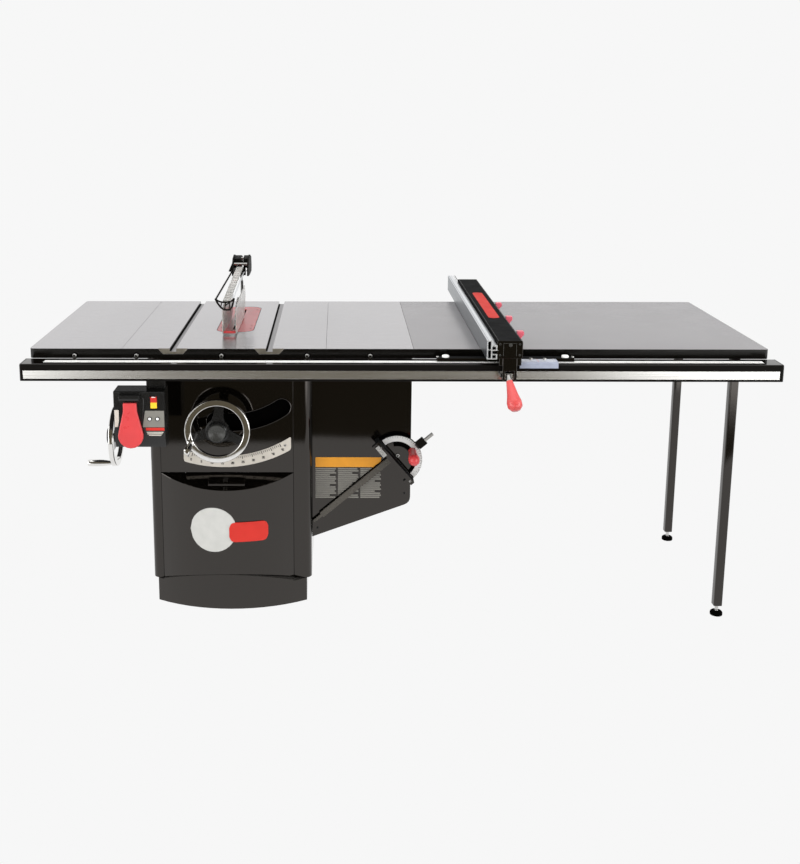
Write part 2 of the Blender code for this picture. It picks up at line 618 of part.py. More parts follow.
shield_outline = [
    (0.172, 0.880), (0.180, 0.8665), (0.470, 0.8665), (0.510, 0.8900), (0.525, 0.9400),
    (0.515, 0.982), (0.300, 0.972), (0.180, 0.955), (0.172, 0.940)]
prism("shield_left", shield_outline, "x", 0.5470, 0.5492, "clear")
prism("shield_right", shield_outline, "x", 0.5876, 0.5898, "clear")

# ---- fence ----
FX = 1.3495
tube_outline = rounded((FX, 0.8664), (FX + 0.0725, 0.9172), 0.004, 2)
tube = prism("fence_tube", tube_outline, "y", -0.1300, 0.9325, "black", True)
tube_hole = rounded((FX + 0.003, 0.8694), (FX + 0.0695, 0.9142), 0.002, 2)
cut(tube, prism("c", tube_hole, "y", -0.1200, 1.0))
face_low = FX - 0.0295
face = box("fence_face", (face_low, -0.1370, 0.8654), (FX - 0.0005, 1.0000, 0.9200), "alu")
hollows = (
    (0.0030, 0.0115, 0.8690, 0.8915), (0.0030, 0.0115, 0.8940, 0.9165),
    (0.0150, 0.0255, 0.8690, 0.8780), (0.0150, 0.0330, 0.8810, 0.8900), (0.0150, 0.0255, 0.8935, 0.9020))
for x0, x1, z0, z1 in hollows:
    cut(face, box("c", (face_low + x0, -0.2, z0), (face_low + x1, 1.1, z1)))
cut(face, box("c", (face_low + 0.0150, -0.2, 0.9055), (face_low + 0.0330, 1.1, 0.93)))
HX = 1.3870
RAIL_CLEAR = RAIL_TOP + 0.0016
head = box("fence_head", (1.1878, -0.0530, RAIL_CLEAR), (1.5847, -0.0260, 0.8490), "black")
join(head, box("p", (HX - 0.0300, -0.1250, 0.8440), (HX + 0.0330, -0.0120, 0.8659)))
join(head, box("p", (HX - 0.0200, -0.1280, 0.8290), (HX + 0.0200, -0.0885, 0.8659)))
for x in (HX - 0.0165, HX + 0.0165):
    join(head, box("p", (x - 0.0035, -0.1280, 0.8020), (x + 0.0035, -0.0885, 0.8320)))
cursor = box("fence_cursor", (1.4205, -0.0950, RAIL_CLEAR), (1.5311, -0.0536, 0.8475), "clear")
join(cursor, box("k", (1.4205, -0.0950, 0.8290), (1.5311, -0.0884, 0.8400)))
for x in (1.4570, 1.4970):
    join(cursor, rod("k", (x, -0.0640, 0.846), (x, -0.0640, 0.8525), 0.0045, steps=10))
LEVER = (-0.1085, 0.8120)
HANDLE = Vector((HX, -0.1300, 0.8000))
DROP = 42.0             # how far the handle leans forward from hanging straight down
LEAN = 11.0             # and to the right
aim = Matrix.Rotation(math.radians(-DROP), 3, "X") @ Vector((0, 0, -1))
aim = Matrix.Rotation(math.radians(LEAN), 3, "Z") @ aim
lever = box("fence_lever", (HX - 0.0120, -0.1190, 0.8030), (HX + 0.0120, -0.0990, 0.8200), "steel")
join(lever, rod("l", HANDLE - aim * 0.0180, HANDLE - aim * 0.0006, 0.0080, steps=12))
handle_profile = [
    (0, 0), (0.0095, 0), (0.0105, 0.008), (0.0160, 0.044),
    (0.0215, 0.066), (0.0210, 0.080), (0.0130, 0.090), (0, 0.092)]
handle = lathe("lever_handle", handle_profile, HANDLE, "z", "red", 20, -1)
turn(handle, HANDLE, "X", -DROP)
turn(handle, HANDLE, "Z", LEAN)
KNOB_Z = 0.8980
stem_profile = [(0, 0), (0.0090, 0), (0.0090, 0.006), (0.0060, 0.009), (0, 0.009)]
wing_outline = [
    (-0.019, 0.012), (-0.013, 0.014), (0, 0.0070), (0.013, 0.014), (0.019, 0.012),
    (0.019, -0.012), (0.013, -0.014), (0, -0.0070), (-0.013, -0.014), (-0.019, -0.012)]
for name, y in (("face_knob_1", 0.0180), ("face_knob_2", 0.2400), ("face_knob_3", 0.4700)):
    knob = lathe(name, stem_profile, (FX + 0.0730, y, KNOB_Z), "x", "red", 16)
    join(knob, prism("w", [(y + u, KNOB_Z + v) for u, v in wing_outline], "x", FX + 0.0780, FX + 0.0980, "red"))

# ---- motor cover ----
cover_outline = [(0.8206, 0.785), (0.8206, 0.1970)]
low_corner = Vector((1.1340, 0.3130))
slope_dir = (Vector((0.8206, 0.1970)) - low_corner).normalized()
before = low_corner + slope_dir * 0.020
after = low_corner + Vector((0, 0.020))
for k in range(5):
    t = k / 4
    p = before.lerp(low_corner, t).lerp(low_corner.lerp(after, t), t)
    cover_outline.append((p.x, p.y))
cover_outline += [(1.1340, 0.785)]
cover = prism("motor_cover", cover_outline, "y", 0.2000, 0.6200, "black")
inside = [(0.80, 0.782), (0.80, 0.1931), (0.8206, 0.2003), (1.1180, 0.3105), (1.1310, 0.3230), (1.1310, 0.782)]
cut(cover, prism("c", inside, "y", 0.2030, 0.6170))

# ---- mitre gauge stored on the motor cover ----
TIP = Vector((0.8250, 0.2530))
GANG = math.radians(40.5)
ALONG = Vector((math.cos(GANG), math.sin(GANG)))
ACROSS = Vector((math.sin(GANG), -math.cos(GANG)))
HUB = TIP + ALONG * 0.334


def gauge(*pairs):
    """Outline on the cover's face given as distances along and across the bar from the hub."""
    points = [HUB + ALONG * a + ACROSS * c for a, c in pairs]
    return [(p.x, p.y) for p in points]


bar_outline = gauge(
    (-0.334, -0.0045), (-0.334, 0.0045), (-0.300, 0.0045), (-0.300, 0.0095),
    (0.012, 0.0095), (0.012, -0.0095), (-0.300, -0.0095), (-0.300, -0.0045))
prism("gauge_bar", bar_outline, "y", 0.1880, 0.1975, "steel")
ARC_MID = (0.004, 0.010)


def gauge_arc(radius, half, steps):
    """Points of the protractor's edge, half degrees either side of the bar."""
    turns = [math.radians(-half + 2 * half * k / steps) for k in range(steps + 1)]
    return [(ARC_MID[0] + radius * math.cos(t), ARC_MID[1] + radius * math.sin(t)) for t in turns]


head_body = prism("gauge_head", gauge(*gauge_arc(0.0800, 90, 16)), "y", 0.1740, 0.1872, "black", True)
window = gauge_arc(0.0630, 62, 12) + gauge_arc(0.0460, 62, 12)[::-1]
cut(head_body, prism("c", gauge(*window), "y", 0.16, 0.19))


def gauge_block(along, across, near, far):
    corners = [(along[0], across[0]), (along[0], across[1]), (along[1], across[1]), (along[1], across[0])]
    return prism("p", gauge(*corners), "y", near, far)


join(head_body, gauge_block((-0.0080, 0.0050), (-0.0830, 0.0910), 0.1330, 0.1872))
join(head_body, gauge_block((-0.0230, -0.0070), (-0.0800, -0.0500), 0.1420, 0.1600))
join(head_body, gauge_block((-0.0200, -0.0070), (0.0680, 0.0870), 0.1420, 0.1600))
knob_at = HUB + ALONG * 0.059 + ACROSS * 0.020
grip = [
    (0, 0), (0.0130, 0), (0.0110, 0.010), (0.0150, 0.050),
    (0.0180, 0.080), (0.0160, 0.094), (0.0080, 0.100), (0, 0.101)]
lathe("gauge_knob", grip, (knob_at.x, 0.1735, knob_at.y), "y", "red", 20, -1)
stop_outline = gauge(
    (0.0800, 0.0060), (0.0800, 0.0220), (0.1120, 0.0220), (0.1120, 0.0180), (0.1460, 0.0180),
    (0.1460, 0.0110), (0.1120, 0.0110), (0.1120, 0.0060))
prism("gauge_stop", stop_outline, "y", 0.1600, 0.1720, "satin")

# ---- move everything so the centre of the cabinet's base is the origin ----
PIVOTS = {
    "elevation_wheel": ELEV_C,
    "tilt_wheel": TILT_C,
    "blade": (BLADE_X, ARBOR_Y, ARBOR_Z),
    "arbor": (BLADE_X, ARBOR_Y, ARBOR_Z),
    "trunnion": (BLADE_X, 0.410, TOP),
    "guard_frame": (GX, 0.660, 1.020),
    "motor_cover": (0.8245, 0.6265, 0.500),
    "stop_paddle": (0.2985, -0.0578, 0.7135),
    "power_rocker": (0.3665, -0.0460, 0.7140),
    "fence_lever": (HX, LEVER[0], LEVER[1]),
    "lever_handle": (HX, LEVER[0], LEVER[1]),
    "gauge_head": (HUB.x, 0.1800, HUB.y),
    "insert_tab": (0.5500, 0.2745, TOP - 0.002),
    "pawl": (BLADE_X, 0.5750, 0.9640),
}
for obj in list(saw.objects):
    for poly in obj.data.polygons:
        poly.material_index = 0
    obj.data.transform(Matrix.Translation(-ORIGIN))
    if obj.name in PIVOTS:
        home = Vector(PIVOTS[obj.name]) - ORIGIN
        obj.data.transform(Matrix.Translation(-home))
        obj.location = home
bpy.context.view_layer.update()
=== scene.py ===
"""Looks of a cabinet table saw: its finishes, fittings and a white studio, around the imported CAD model.

Places are in the layout the CAD is drawn in, in metres: X from the left end of the table, Y from its
front edge to the back, Z up from the floor.  at() moves them to the model's own origin.
"""
import json
import math

import bmesh
import bpy
from mathutils import Matrix, Vector

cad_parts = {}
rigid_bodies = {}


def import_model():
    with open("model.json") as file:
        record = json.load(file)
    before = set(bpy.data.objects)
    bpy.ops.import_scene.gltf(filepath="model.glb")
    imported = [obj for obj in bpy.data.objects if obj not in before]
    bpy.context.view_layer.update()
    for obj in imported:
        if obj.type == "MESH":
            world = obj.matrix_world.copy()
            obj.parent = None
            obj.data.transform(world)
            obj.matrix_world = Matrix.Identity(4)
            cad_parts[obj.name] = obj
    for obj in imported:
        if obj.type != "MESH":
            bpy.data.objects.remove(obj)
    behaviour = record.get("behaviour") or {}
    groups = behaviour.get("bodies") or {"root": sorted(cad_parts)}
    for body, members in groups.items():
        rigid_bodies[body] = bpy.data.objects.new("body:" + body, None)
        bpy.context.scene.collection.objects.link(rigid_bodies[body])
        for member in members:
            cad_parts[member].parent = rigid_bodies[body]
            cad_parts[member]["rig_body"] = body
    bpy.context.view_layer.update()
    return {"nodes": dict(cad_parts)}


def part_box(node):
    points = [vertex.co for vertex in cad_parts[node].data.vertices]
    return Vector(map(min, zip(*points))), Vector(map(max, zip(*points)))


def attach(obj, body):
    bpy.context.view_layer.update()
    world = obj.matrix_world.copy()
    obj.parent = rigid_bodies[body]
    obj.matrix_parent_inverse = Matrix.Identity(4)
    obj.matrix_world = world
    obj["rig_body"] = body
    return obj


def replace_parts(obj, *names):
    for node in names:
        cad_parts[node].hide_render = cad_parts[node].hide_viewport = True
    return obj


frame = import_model()

NODES = frame["nodes"]
BODY = {name: obj["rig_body"] for name, obj in NODES.items()}
ORIGIN = Vector((0.567, 0.424, 0.0))  # the model's origin in the layout's coordinates
TOP = 0.8636
BLADE_X = 0.574


def at(x, y, z):
    """A point of the layout, in the model."""
    return Vector((x, y, z)) - ORIGIN


def placed(name, data):
    """A new object in the scene for a mesh, a light or a camera."""
    obj = bpy.data.objects.new(name, data)
    bpy.context.scene.collection.objects.link(obj)
    return obj


# ---- camera, floor and light ----
CAMERA_AT = Vector((0.335, -3.602, 1.594))
YAW = 0.002
PITCH = 0.2
ROLL = 0.002
LENS = 46.41
SHIFT = (0.0694, -0.1296)
WHITE = (0.93, 0.93, 0.93, 1)  # the studio's white, as the camera sees it
DUSK = (0.105, 0.09, 0.062, 1)  # the unlit room behind the camera, warm
PANEL = 2.3  # brightness of the tall panels either side of the camera
FLOOR_FRONT = -1.92  # the white floor ends here, towards the operator
FLOOR_SIZE = 14.0
FLOOR_DROP = 0.0004  # keeps the floor clear of the feet and the plinth


def make_camera():
    """The photograph's viewpoint, from in front of the saw and a little above the table."""
    camera = placed("camera", bpy.data.cameras.new("camera"))
    tip = Matrix.Rotation(math.pi / 2 - PITCH, 4, "X") @ Matrix.Rotation(ROLL, 4, "Z")
    camera.matrix_world = Matrix.Translation(CAMERA_AT) @ Matrix.Rotation(-YAW, 4, "Z") @ tip
    camera.data.lens = LENS
    camera.data.sensor_width = 36.0
    camera.data.shift_x, camera.data.shift_y = SHIFT
    camera.data.clip_end = 60.0
    bpy.context.scene.camera = camera


def area_light(name, place, towards, size, power):
    """A soft box that points at a spot."""
    light = bpy.data.lights.new(name, "AREA")
    light.shape = "RECTANGLE"
    light.size, light.size_y = size
    light.energy = power
    obj = placed(name, light)
    obj.location = place
    obj.rotation_euler = (Vector(towards) - Vector(place)).to_track_quat("-Z", "Y").to_euler()


def wire(tree, kind, inputs, **settings):
    """A new shader node with its settings made and its inputs given a value or linked to a socket."""
    made = tree.nodes.new("ShaderNode" + kind)
    for key, value in settings.items():
        setattr(made, key, value)
    for socket, value in inputs.items():
        if isinstance(value, bpy.types.NodeSocket):
            tree.links.new(value, made.inputs[socket])
        else:
            made.inputs[socket].default_value = value
    return made


def remap(tree, source, low, high, first, last, kind="LINEAR"):
    """A source taken from one range to another, clamped."""
    ends = {"Value": source, "From Min": low, "From Max": high, "To Min": first, "To Max": last}
    return wire(tree, "MapRange", ends, interpolation_type=kind).outputs["Result"]


def make_floor():
    bm = bmesh.new()
    half = FLOOR_SIZE / 2
    corners = [(-half, FLOOR_FRONT), (half, FLOOR_FRONT), (half, FLOOR_SIZE), (-half, FLOOR_SIZE)]
    bm.faces.new([bm.verts.new((x, y, -FLOOR_DROP)) for x, y in corners])
    mesh = bpy.data.meshes.new("floor")
    bm.to_mesh(mesh)
    bm.free()
    floor = placed("floor", mesh)
    paint = bpy.data.materials.new("floor_white")
    paint.use_nodes = True
    paint.node_tree.nodes.clear()
    glow = wire(paint.node_tree, "Emission", {"Color": WHITE})
    wire(paint.node_tree, "OutputMaterial", {"Surface": glow.outputs[0]})
    mesh.materials.append(paint)


def make_room():
    """Plain white to the camera.  Reflections see white behind, above and at the sides, dusk in front,
    and two tall panels either side of the camera."""
    world = bpy.data.worlds.new("studio")
    bpy.context.scene.world = world
    world.use_nodes = True
    tree = world.node_tree
    tree.nodes.clear()
    where = wire(tree, "TexCoord", {}).outputs["Generated"]
    x, y, z = wire(tree, "SeparateXYZ", {0: where}).outputs
    ray = wire(tree, "LightPath", {}).outputs

    def step(*ends):
        return remap(tree, *ends, "SMOOTHSTEP")

    def together(operation, a, b):
        return wire(tree, "Math", {0: a, 1: b}, operation=operation).outputs[0]

    sideways = wire(tree, "Math", {0: x}, operation="ABSOLUTE").outputs[0]
    back = step(y, -0.3, 0.05, 0.0, 1.0)
    sides = step(sideways, 0.4, 0.66, 0.0, 1.0)
    above = step(z, 0.55, 0.95, 0.0, 0.8)
    light = together("MAXIMUM", together("MAXIMUM", back, sides), above)
    base = wire(tree, "Mix", {"Factor": light, "A": DUSK, "B": WHITE}, data_type="RGBA")

    foot = step(z, -0.285, -0.235, 0.0, 1.0)
    inner_edge = step(sideways, 0.222, 0.272, 0.0, PANEL)
    front = step(y, -0.3, -0.1, 1.0, 0.0)
    # the tops of the panels light the saw but are not mirrored in the ground tables
    top = together("MAXIMUM", step(z, 0.02, 0.22, 1.0, 0.0), ray["Is Diffuse Ray"])
    panel = together("MULTIPLY", together("MULTIPLY", foot, inner_edge), front)
    panel = together("MULTIPLY", panel, top)
    both = {"Factor": 1.0, "A": base.outputs["Result"], "B": panel}
    glow = wire(tree, "Mix", both, data_type="RGBA", blend_type="ADD")

    plain = wire(tree, "Background", {"Color": WHITE})
    shaped = wire(tree, "Background", {"Color": glow.outputs["Result"]})
    seen = {0: ray["Is Camera Ray"], 1: shaped.outputs[0], 2: plain.outputs[0]}
    mix = wire(tree, "MixShader", seen)
    wire(tree, "OutputWorld", {"Surface": mix.outputs[0]})


def make_studio():
    view = bpy.context.scene.view_settings
    view.view_transform = "Standard"
    view.look = "None"
    make_floor()
    make_room()
    area_light("top_box", (0.3, -0.6, 3.4), (0.3, 0.0, 0.8), (3.2, 1.8), 20)
    area_light("left_box", (-3.0, -1.6, 1.5), (-0.2, 0.0, 0.7), (1.2, 2.2), 33)
    area_light("right_box", (3.6, -1.6, 1.5), (0.8, 0.0, 0.7), (1.2, 2.2), 28)


# ---- materials ----
class Paint:
    """A material under construction; each step adds its nodes and gives the paint back."""

    def __init__(self, name, colour, rough, metal=0, ior=1.5):
        self.mat = bpy.data.materials.new(name)
        self.mat.use_nodes = True
        self.tree = self.mat.node_tree
        self.shader = self.tree.nodes["Principled BSDF"]
        self.colour = (*colour, 1)
        self.set("Base Color", self.colour)
        self.set("Roughness", rough)
        self.set("Metallic", metal)
        self.set("IOR", ior)
        self.rough = rough
        self.bumps = None
        self.coords = wire(self.tree, "TexCoord", {}).outputs["Object"]
        self.mat.diffuse_color = self.colour

    def set(self, socket, value):
        self.shader.inputs[socket].default_value = value
        return self

    def noise(self, scale, detail, stretch=(1, 1, 1)):
        """Noise in the part's own space, stretched along its axes."""
        place = wire(self.tree, "Mapping", {"Vector": self.coords, "Scale": stretch}).outputs[0]
        return wire(self.tree, "TexNoise", {"Vector": place, "Scale": scale, "Detail": detail}).outputs["Fac"]

    def uneven(self, amount, scale, detail=4, stretch=(1, 1, 1)):
        """Let the roughness wander either side of its value."""
        noise = self.noise(scale, detail, stretch)
        low = max(0.02, self.rough - amount)
        wander = remap(self.tree, noise, 0.3, 0.7, low, self.rough + amount)
        self.tree.links.new(wander, self.shader.inputs["Roughness"])
        return self

    def speck(self, other, scale, detail=4, stretch=(1, 1, 1), share=(0.3, 0.7)):
        """Blend towards another colour where the noise is high."""
        current = self.shader.inputs["Base Color"]
        factor = remap(self.tree, self.noise(scale, detail, stretch), *share, 0, 1)
        before = current.links[0].from_socket if current.is_linked else self.colour
        ends = {"Factor": factor, "A": before, "B": (*other, 1)}
        mix = wire(self.tree, "Mix", ends, data_type="RGBA")
        self.tree.links.new(mix.outputs["Result"], current)
        return self

    def grain(self, height, scale, detail=2, stretch=(1, 1, 1)):
        """Raise the surface by noise, height in metres."""
        inputs = {"Strength": 1, "Distance": height, "Height": self.noise(scale, detail, stretch)}
        if self.bumps is not None:
            inputs["Normal"] = self.bumps
        self.bumps = wire(self.tree, "Bump", inputs).outputs["Normal"]
        self.tree.links.new(self.bumps, self.shader.inputs["Normal"])
        return self


def gloss_black():
    """Glossy black powder coat with a faint orange peel and a little dust."""
    paint = Paint("gloss_black_enamel", (0.002, 0.0016, 0.0012), 0.055, ior=1.62)
    paint.set("Specular Tint", (1, 0.93, 0.87, 1)).uneven(0.015, 3)
    paint.speck((0.0045, 0.0038, 0.0032), 210, 2, share=(0.62, 0.8))
    return paint.grain(0.00002, 420).grain(0.0007, 4, 1)


def satin_black():
    """Moulded black plastic with a fine texture."""
    paint = Paint("satin_black_plastic", (0.013, 0.012, 0.012), 0.34)
    return paint.uneven(0.06, 14).speck((0.022, 0.021, 0.02), 60).grain(0.00006, 1600)


def matt_black():
    """Fine-textured black powder coat on the fence."""
    paint = Paint("matt_black_coat", (0.0062, 0.0064, 0.0064), 0.62, ior=1.06)
    return paint.uneven(0.06, 30).speck((0.012, 0.012, 0.013), 120, 3).grain(0.00005, 1400)


def casting_black():
    """The painted front of the iron castings, a little rough from the sand."""
    paint = Paint("casting_black", (0.003, 0.0025, 0.002), 0.2, ior=1.3)
    paint.uneven(0.06, 22).speck((0.006, 0.005, 0.004), 90, share=(0.55, 0.85))
    return paint.grain(0.00008, 300, 3)


def ground_iron():
    """Ground cast iron: fine grinding lines, a few stains and a waxed sheen."""
    lines = (60, 4, (0.12, 26, 1))
    paint = Paint("ground_cast_iron", (0.535, 0.52, 0.53), 0.24, 1)
    paint.uneven(0.05, *lines).speck((0.48, 0.466, 0.476), 2.2, 4, (1, 0.4, 1))
    paint.speck((0.45, 0.438, 0.44), 160, 3, share=(0.56, 0.84))
    return paint.grain(0.00002, *lines)


def machined_edge():
    """Bare machined iron, slightly tarnished."""
    paint = Paint("machined_iron", (0.3, 0.28, 0.235), 0.42, 1)
    paint.uneven(0.08, 240, 3, (0.1, 1, 4)).speck((0.21, 0.19, 0.155), 55)
    return paint.grain(0.00005, 300, 2, (0.1, 1, 5))


def laminate():
    """The extension table's grey laminate, with a fine pebbled texture."""
    paint = Paint("grey_laminate", (0.165, 0.157, 0.162), 0.2).uneven(0.035, 9)
    paint.speck((0.18, 0.171, 0.177), 700, 2).speck((0.15, 0.142, 0.148), 1.8, 3)
    return paint.grain(0.00002, 900)


def chrome():
    paint = Paint("chrome_plate", (0.8, 0.79, 0.77), 0.06, 1)
    return paint.uneven(0.02, 45).speck((0.72, 0.71, 0.69), 30, share=(0.5, 0.8))


def zinc_steel():
    """Plated steel of screws, feet, shafts and the saw blade."""
    paint = Paint("plated_steel", (0.58, 0.575, 0.56), 0.27, 1).uneven(0.07, 120)
    return paint.speck((0.42, 0.41, 0.39), 70, share=(0.45, 0.8)).grain(0.00003, 700)


def anodised(name="anodised_aluminium", colour=(0.8, 0.82, 0.84)):
    """Drawn aluminium, brushed along its length."""
    drawn = (90, 3, (9, 0.05, 9))
    paint = Paint(name, colour, 0.34, 1).uneven(0.06, *drawn)
    return paint.speck([c * 0.91 for c in colour], *drawn).grain(0.00002, *drawn)


def trim_metal():
    """The rail's bright strip, brushed from end to end."""
    drawn = (90, 3, (0.05, 9, 9))
    paint = Paint("brushed_trim", (0.88, 0.88, 0.87), 0.21, 1)
    return paint.uneven(0.04, *drawn).speck((0.82, 0.82, 0.8), *drawn)


def red_plastic(name="red_plastic", colour=(0.53, 0.046, 0.049), rough=0.3, ior=1.45):
    paint = Paint(name, colour, rough, ior=ior).uneven(0.05, 30)
    paint.speck([c * 0.86 for c in colour], 18).grain(0.00004, 900)
    return paint.set("Subsurface Weight", 0.06).set("Subsurface Scale", 0.004)


def cloudy_white():
    """The cursor's acrylic; the light along its edges is painted on as white strips in make_cursor."""
    paint = Paint("cursor_acrylic", (0.43, 0.47, 0.58), 0.12).set("Transmission Weight", 0.35)
    paint.uneven(0.05, 40, 3).speck((0.38, 0.4, 0.5), 70, share=(0.45, 0.7))
    return paint.grain(0.0004, 90)


def haze():
    """The guard's moulded plastic, ribbed and a little cloudy."""
    paint = Paint("cloudy_polycarbonate", (0.7, 0.69, 0.66), 0.2, ior=1.3)
    paint.set("Transmission Weight", 0.62).uneven(0.08, 30)
    return paint.speck((0.44, 0.43, 0.4), 26, share=(0.45, 0.75)).grain(0.0008, 60, 3)


def enamel(name, colour, rough=0.35, ior=1.45):
    """Printed or enamelled colour on metal; the same flat colour also makes the painted shade and painted
    light finishes below.
    """
    paint = Paint(name, colour, rough, ior=ior).uneven(0.05, 80, 3)
    return paint.speck([c * 0.9 for c in colour], 40).grain(0.00002, 1200)


def rubber():
    paint = Paint("belt_rubber", (0.018, 0.018, 0.018), 0.62).uneven(0.08, 60, 3)
    return paint.speck((0.035, 0.034, 0.033), 140).grain(0.00012, 800, 3)


FINISH = {
    "gloss": gloss_black(),
    "matt": matt_black(),
    "satin": satin_black(),
    "cap": enamel("cap_plastic", (0.033, 0.033, 0.03), 0.3),
    "coal": enamel("coal_black", (0.005, 0.0044, 0.0038), 0.5, 1.12),
    "hood": enamel("hood_plastic", (0.01, 0.01, 0.01), 0.16),
    "panel": enamel("panel_silver", (0.176, 0.169, 0.15), 0.4),
    "badge": enamel("badge_silver", (0.44, 0.44, 0.42), 0.35),
    "lamp": enamel("lamp_lens", (0.9, 0.9, 0.9), 0.2),
    # a lighter, matt copy of the black for the plinth's up-facing faces and ledges: painted light on those
    # tops
    "step": enamel("lit_top_black", (0.03, 0.028, 0.026), 0.6, 1.15),
    # the deepest black: the real black of pads, print and joints, and painted shade in the table's slots,
    # inside the cabinet, in the gaps beside the door, in screw sockets and holes, and behind the gauge's bar
    "smoke": enamel("deep_black_and_painted_shade", (0.001, 0.0009, 0.0008), 0.6, 1.05),
    "scale": enamel("scale_silver", (0.52, 0.52, 0.51), 0.32),
    "casting": casting_black(),
    "iron": ground_iron(),
    "machined": machined_edge(),
    "laminate": laminate(),
    "chrome": chrome(),
    "steel": zinc_steel(),
    "alu": anodised(),
    # a darker copy of the anodised aluminium for the fence face's left sides (painted shade), also used for
    # two grey lines on its top
    "alu_side": anodised("anodised_shaded_side", (0.25, 0.268, 0.284)),
    "trough": anodised("slot_floor", (0.3, 0.29, 0.296)),
    "bar": enamel("bar_steel", (0.056, 0.05, 0.041), 0.26),
    "trim": trim_metal(),
    "red": red_plastic(),
    "insert": red_plastic("insert_red", (0.395, 0.05, 0.053), 0.22),
    "cream": enamel("scale_enamel", (0.52, 0.485, 0.43)),
    # white print and white pads, and also painted highlights on the rocker and the cursor
    "white": enamel("white_print_and_painted_highlight", (0.82, 0.82, 0.8)),
    "ink": enamel("black_print", (0.012, 0.012, 0.012)),
    "orange": enamel("orange_print", (0.6, 0.25, 0.014)),
    "yellow": enamel("yellow_print", (0.85, 0.5, 0.02)),
    "pink": red_plastic("knob_pink", (0.7, 0.12, 0.165), 0.28),
    "grip": red_plastic("grip_red", (0.54, 0.07, 0.068), 0.14),
    "scarlet": red_plastic("fence_scarlet", (0.5, 0.036, 0.028), 0.5, 1.12),
    "cursor": cloudy_white(),
    "haze": haze(),
    "motor": enamel("motor_grey", (0.16, 0.16, 0.155), 0.45),
    "rubber": rubber(),
}


# ---- mesh helpers ----
SHARP = 38.0  # edges sharper than this many degrees stay sharp
MERGE = 2e-5  # CAD corners closer than this are one
FLAT = math.radians(0.4)  # CAD faces that bend less than this are one
ROUND = math.radians(30.0)  # edges that bend more than this are rounded


def finished(name, bm, finishes, body, sharp=SHARP):
    """A bmesh as a shown piece that rides on a body, smooth but for its sharp edges."""
    bmesh.ops.recalc_face_normals(bm, faces=bm.faces)
    mesh = bpy.data.meshes.new(name)
    bm.to_mesh(mesh)
    bm.free()
    mesh.shade_smooth()
    mesh.set_sharp_from_angle(angle=math.radians(sharp))
    obj = placed(name, mesh)
    for finish in [finishes] if isinstance(finishes, str) else finishes:
        mesh.materials.append(FINISH[finish].mat)
    obj.modifiers.new("even_normals", "WEIGHTED_NORMAL").keep_sharp = True
    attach(obj, body)
    return obj


def soften(bm, width, segments=2):
    """Round the edges of a bmesh that bend more than ROUND."""
    edges = [e for e in bm.edges if len(e.link_faces) == 2 and e.calc_face_angle() > ROUND]
    if edges and width > 0:
        bmesh.ops.bevel(
            bm, geom=edges, offset=width, segments=segments, profile=0.5, affect="EDGES", clamp_overlap=True)


def refine(node, finishes, width=0.0006, segments=2, side=None):
    """The CAD node's own shape with clean faces and softened edges; side(face) picks a finish."""
    bm = bmesh.new()
    bm.from_mesh(NODES[node].data)
    bmesh.ops.remove_doubles(bm, verts=bm.verts, dist=MERGE)
    bmesh.ops.dissolve_limit(bm, angle_limit=FLAT, verts=bm.verts, edges=bm.edges)
    soften(bm, width, segments)
    for face in bm.faces:
        face.material_index = side(face) if side else 0
    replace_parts(finished(node + "_shell", bm, finishes, BODY[node]), node)


def top_first(face):
    """The first finish on top, the second elsewhere."""
    return 0 if face.normal.z > 0.5 else 1


def front_second(face):
    """The second finish in front, the first elsewhere."""
    return 1 if face.normal.y < -0.5 else 0


def arc(centre, radius, first, last, steps):
    """Points along an arc; angles in degrees, anticlockwise from the first axis of the plane."""
    turns = [math.radians(first + (last - first) * k / steps) for k in range(steps + 1)]
    return [(centre[0] + radius * math.cos(a), centre[1] + radius * math.sin(a)) for a in turns]


def circle(radius, steps):
    """Points round a circle at the origin; a radius of 0 gives its middle."""
    return arc((0, 0), radius, 0, 360, steps)[:-1] if radius > 0 else [(0, 0)]


def polar(centre, radius, degrees):
    """A point at an angle from straight down, turning towards +X."""
    a = math.radians(degrees)
    return (centre[0] + radius * math.sin(a), centre[1] - radius * math.cos(a))


def sweep(centre, radius, first, last, steps):
    return [polar(centre, radius, first + (last - first) * k / steps) for k in range(steps + 1)]


AXES = {  # a point from its place on a plane and its height along the axis across it
    "x": lambda p, h: (h, p[0], p[1]),
    "y": lambda p, h: (p[0], h, p[1]),
    "z": lambda p, h: (p[0], p[1], h),
}


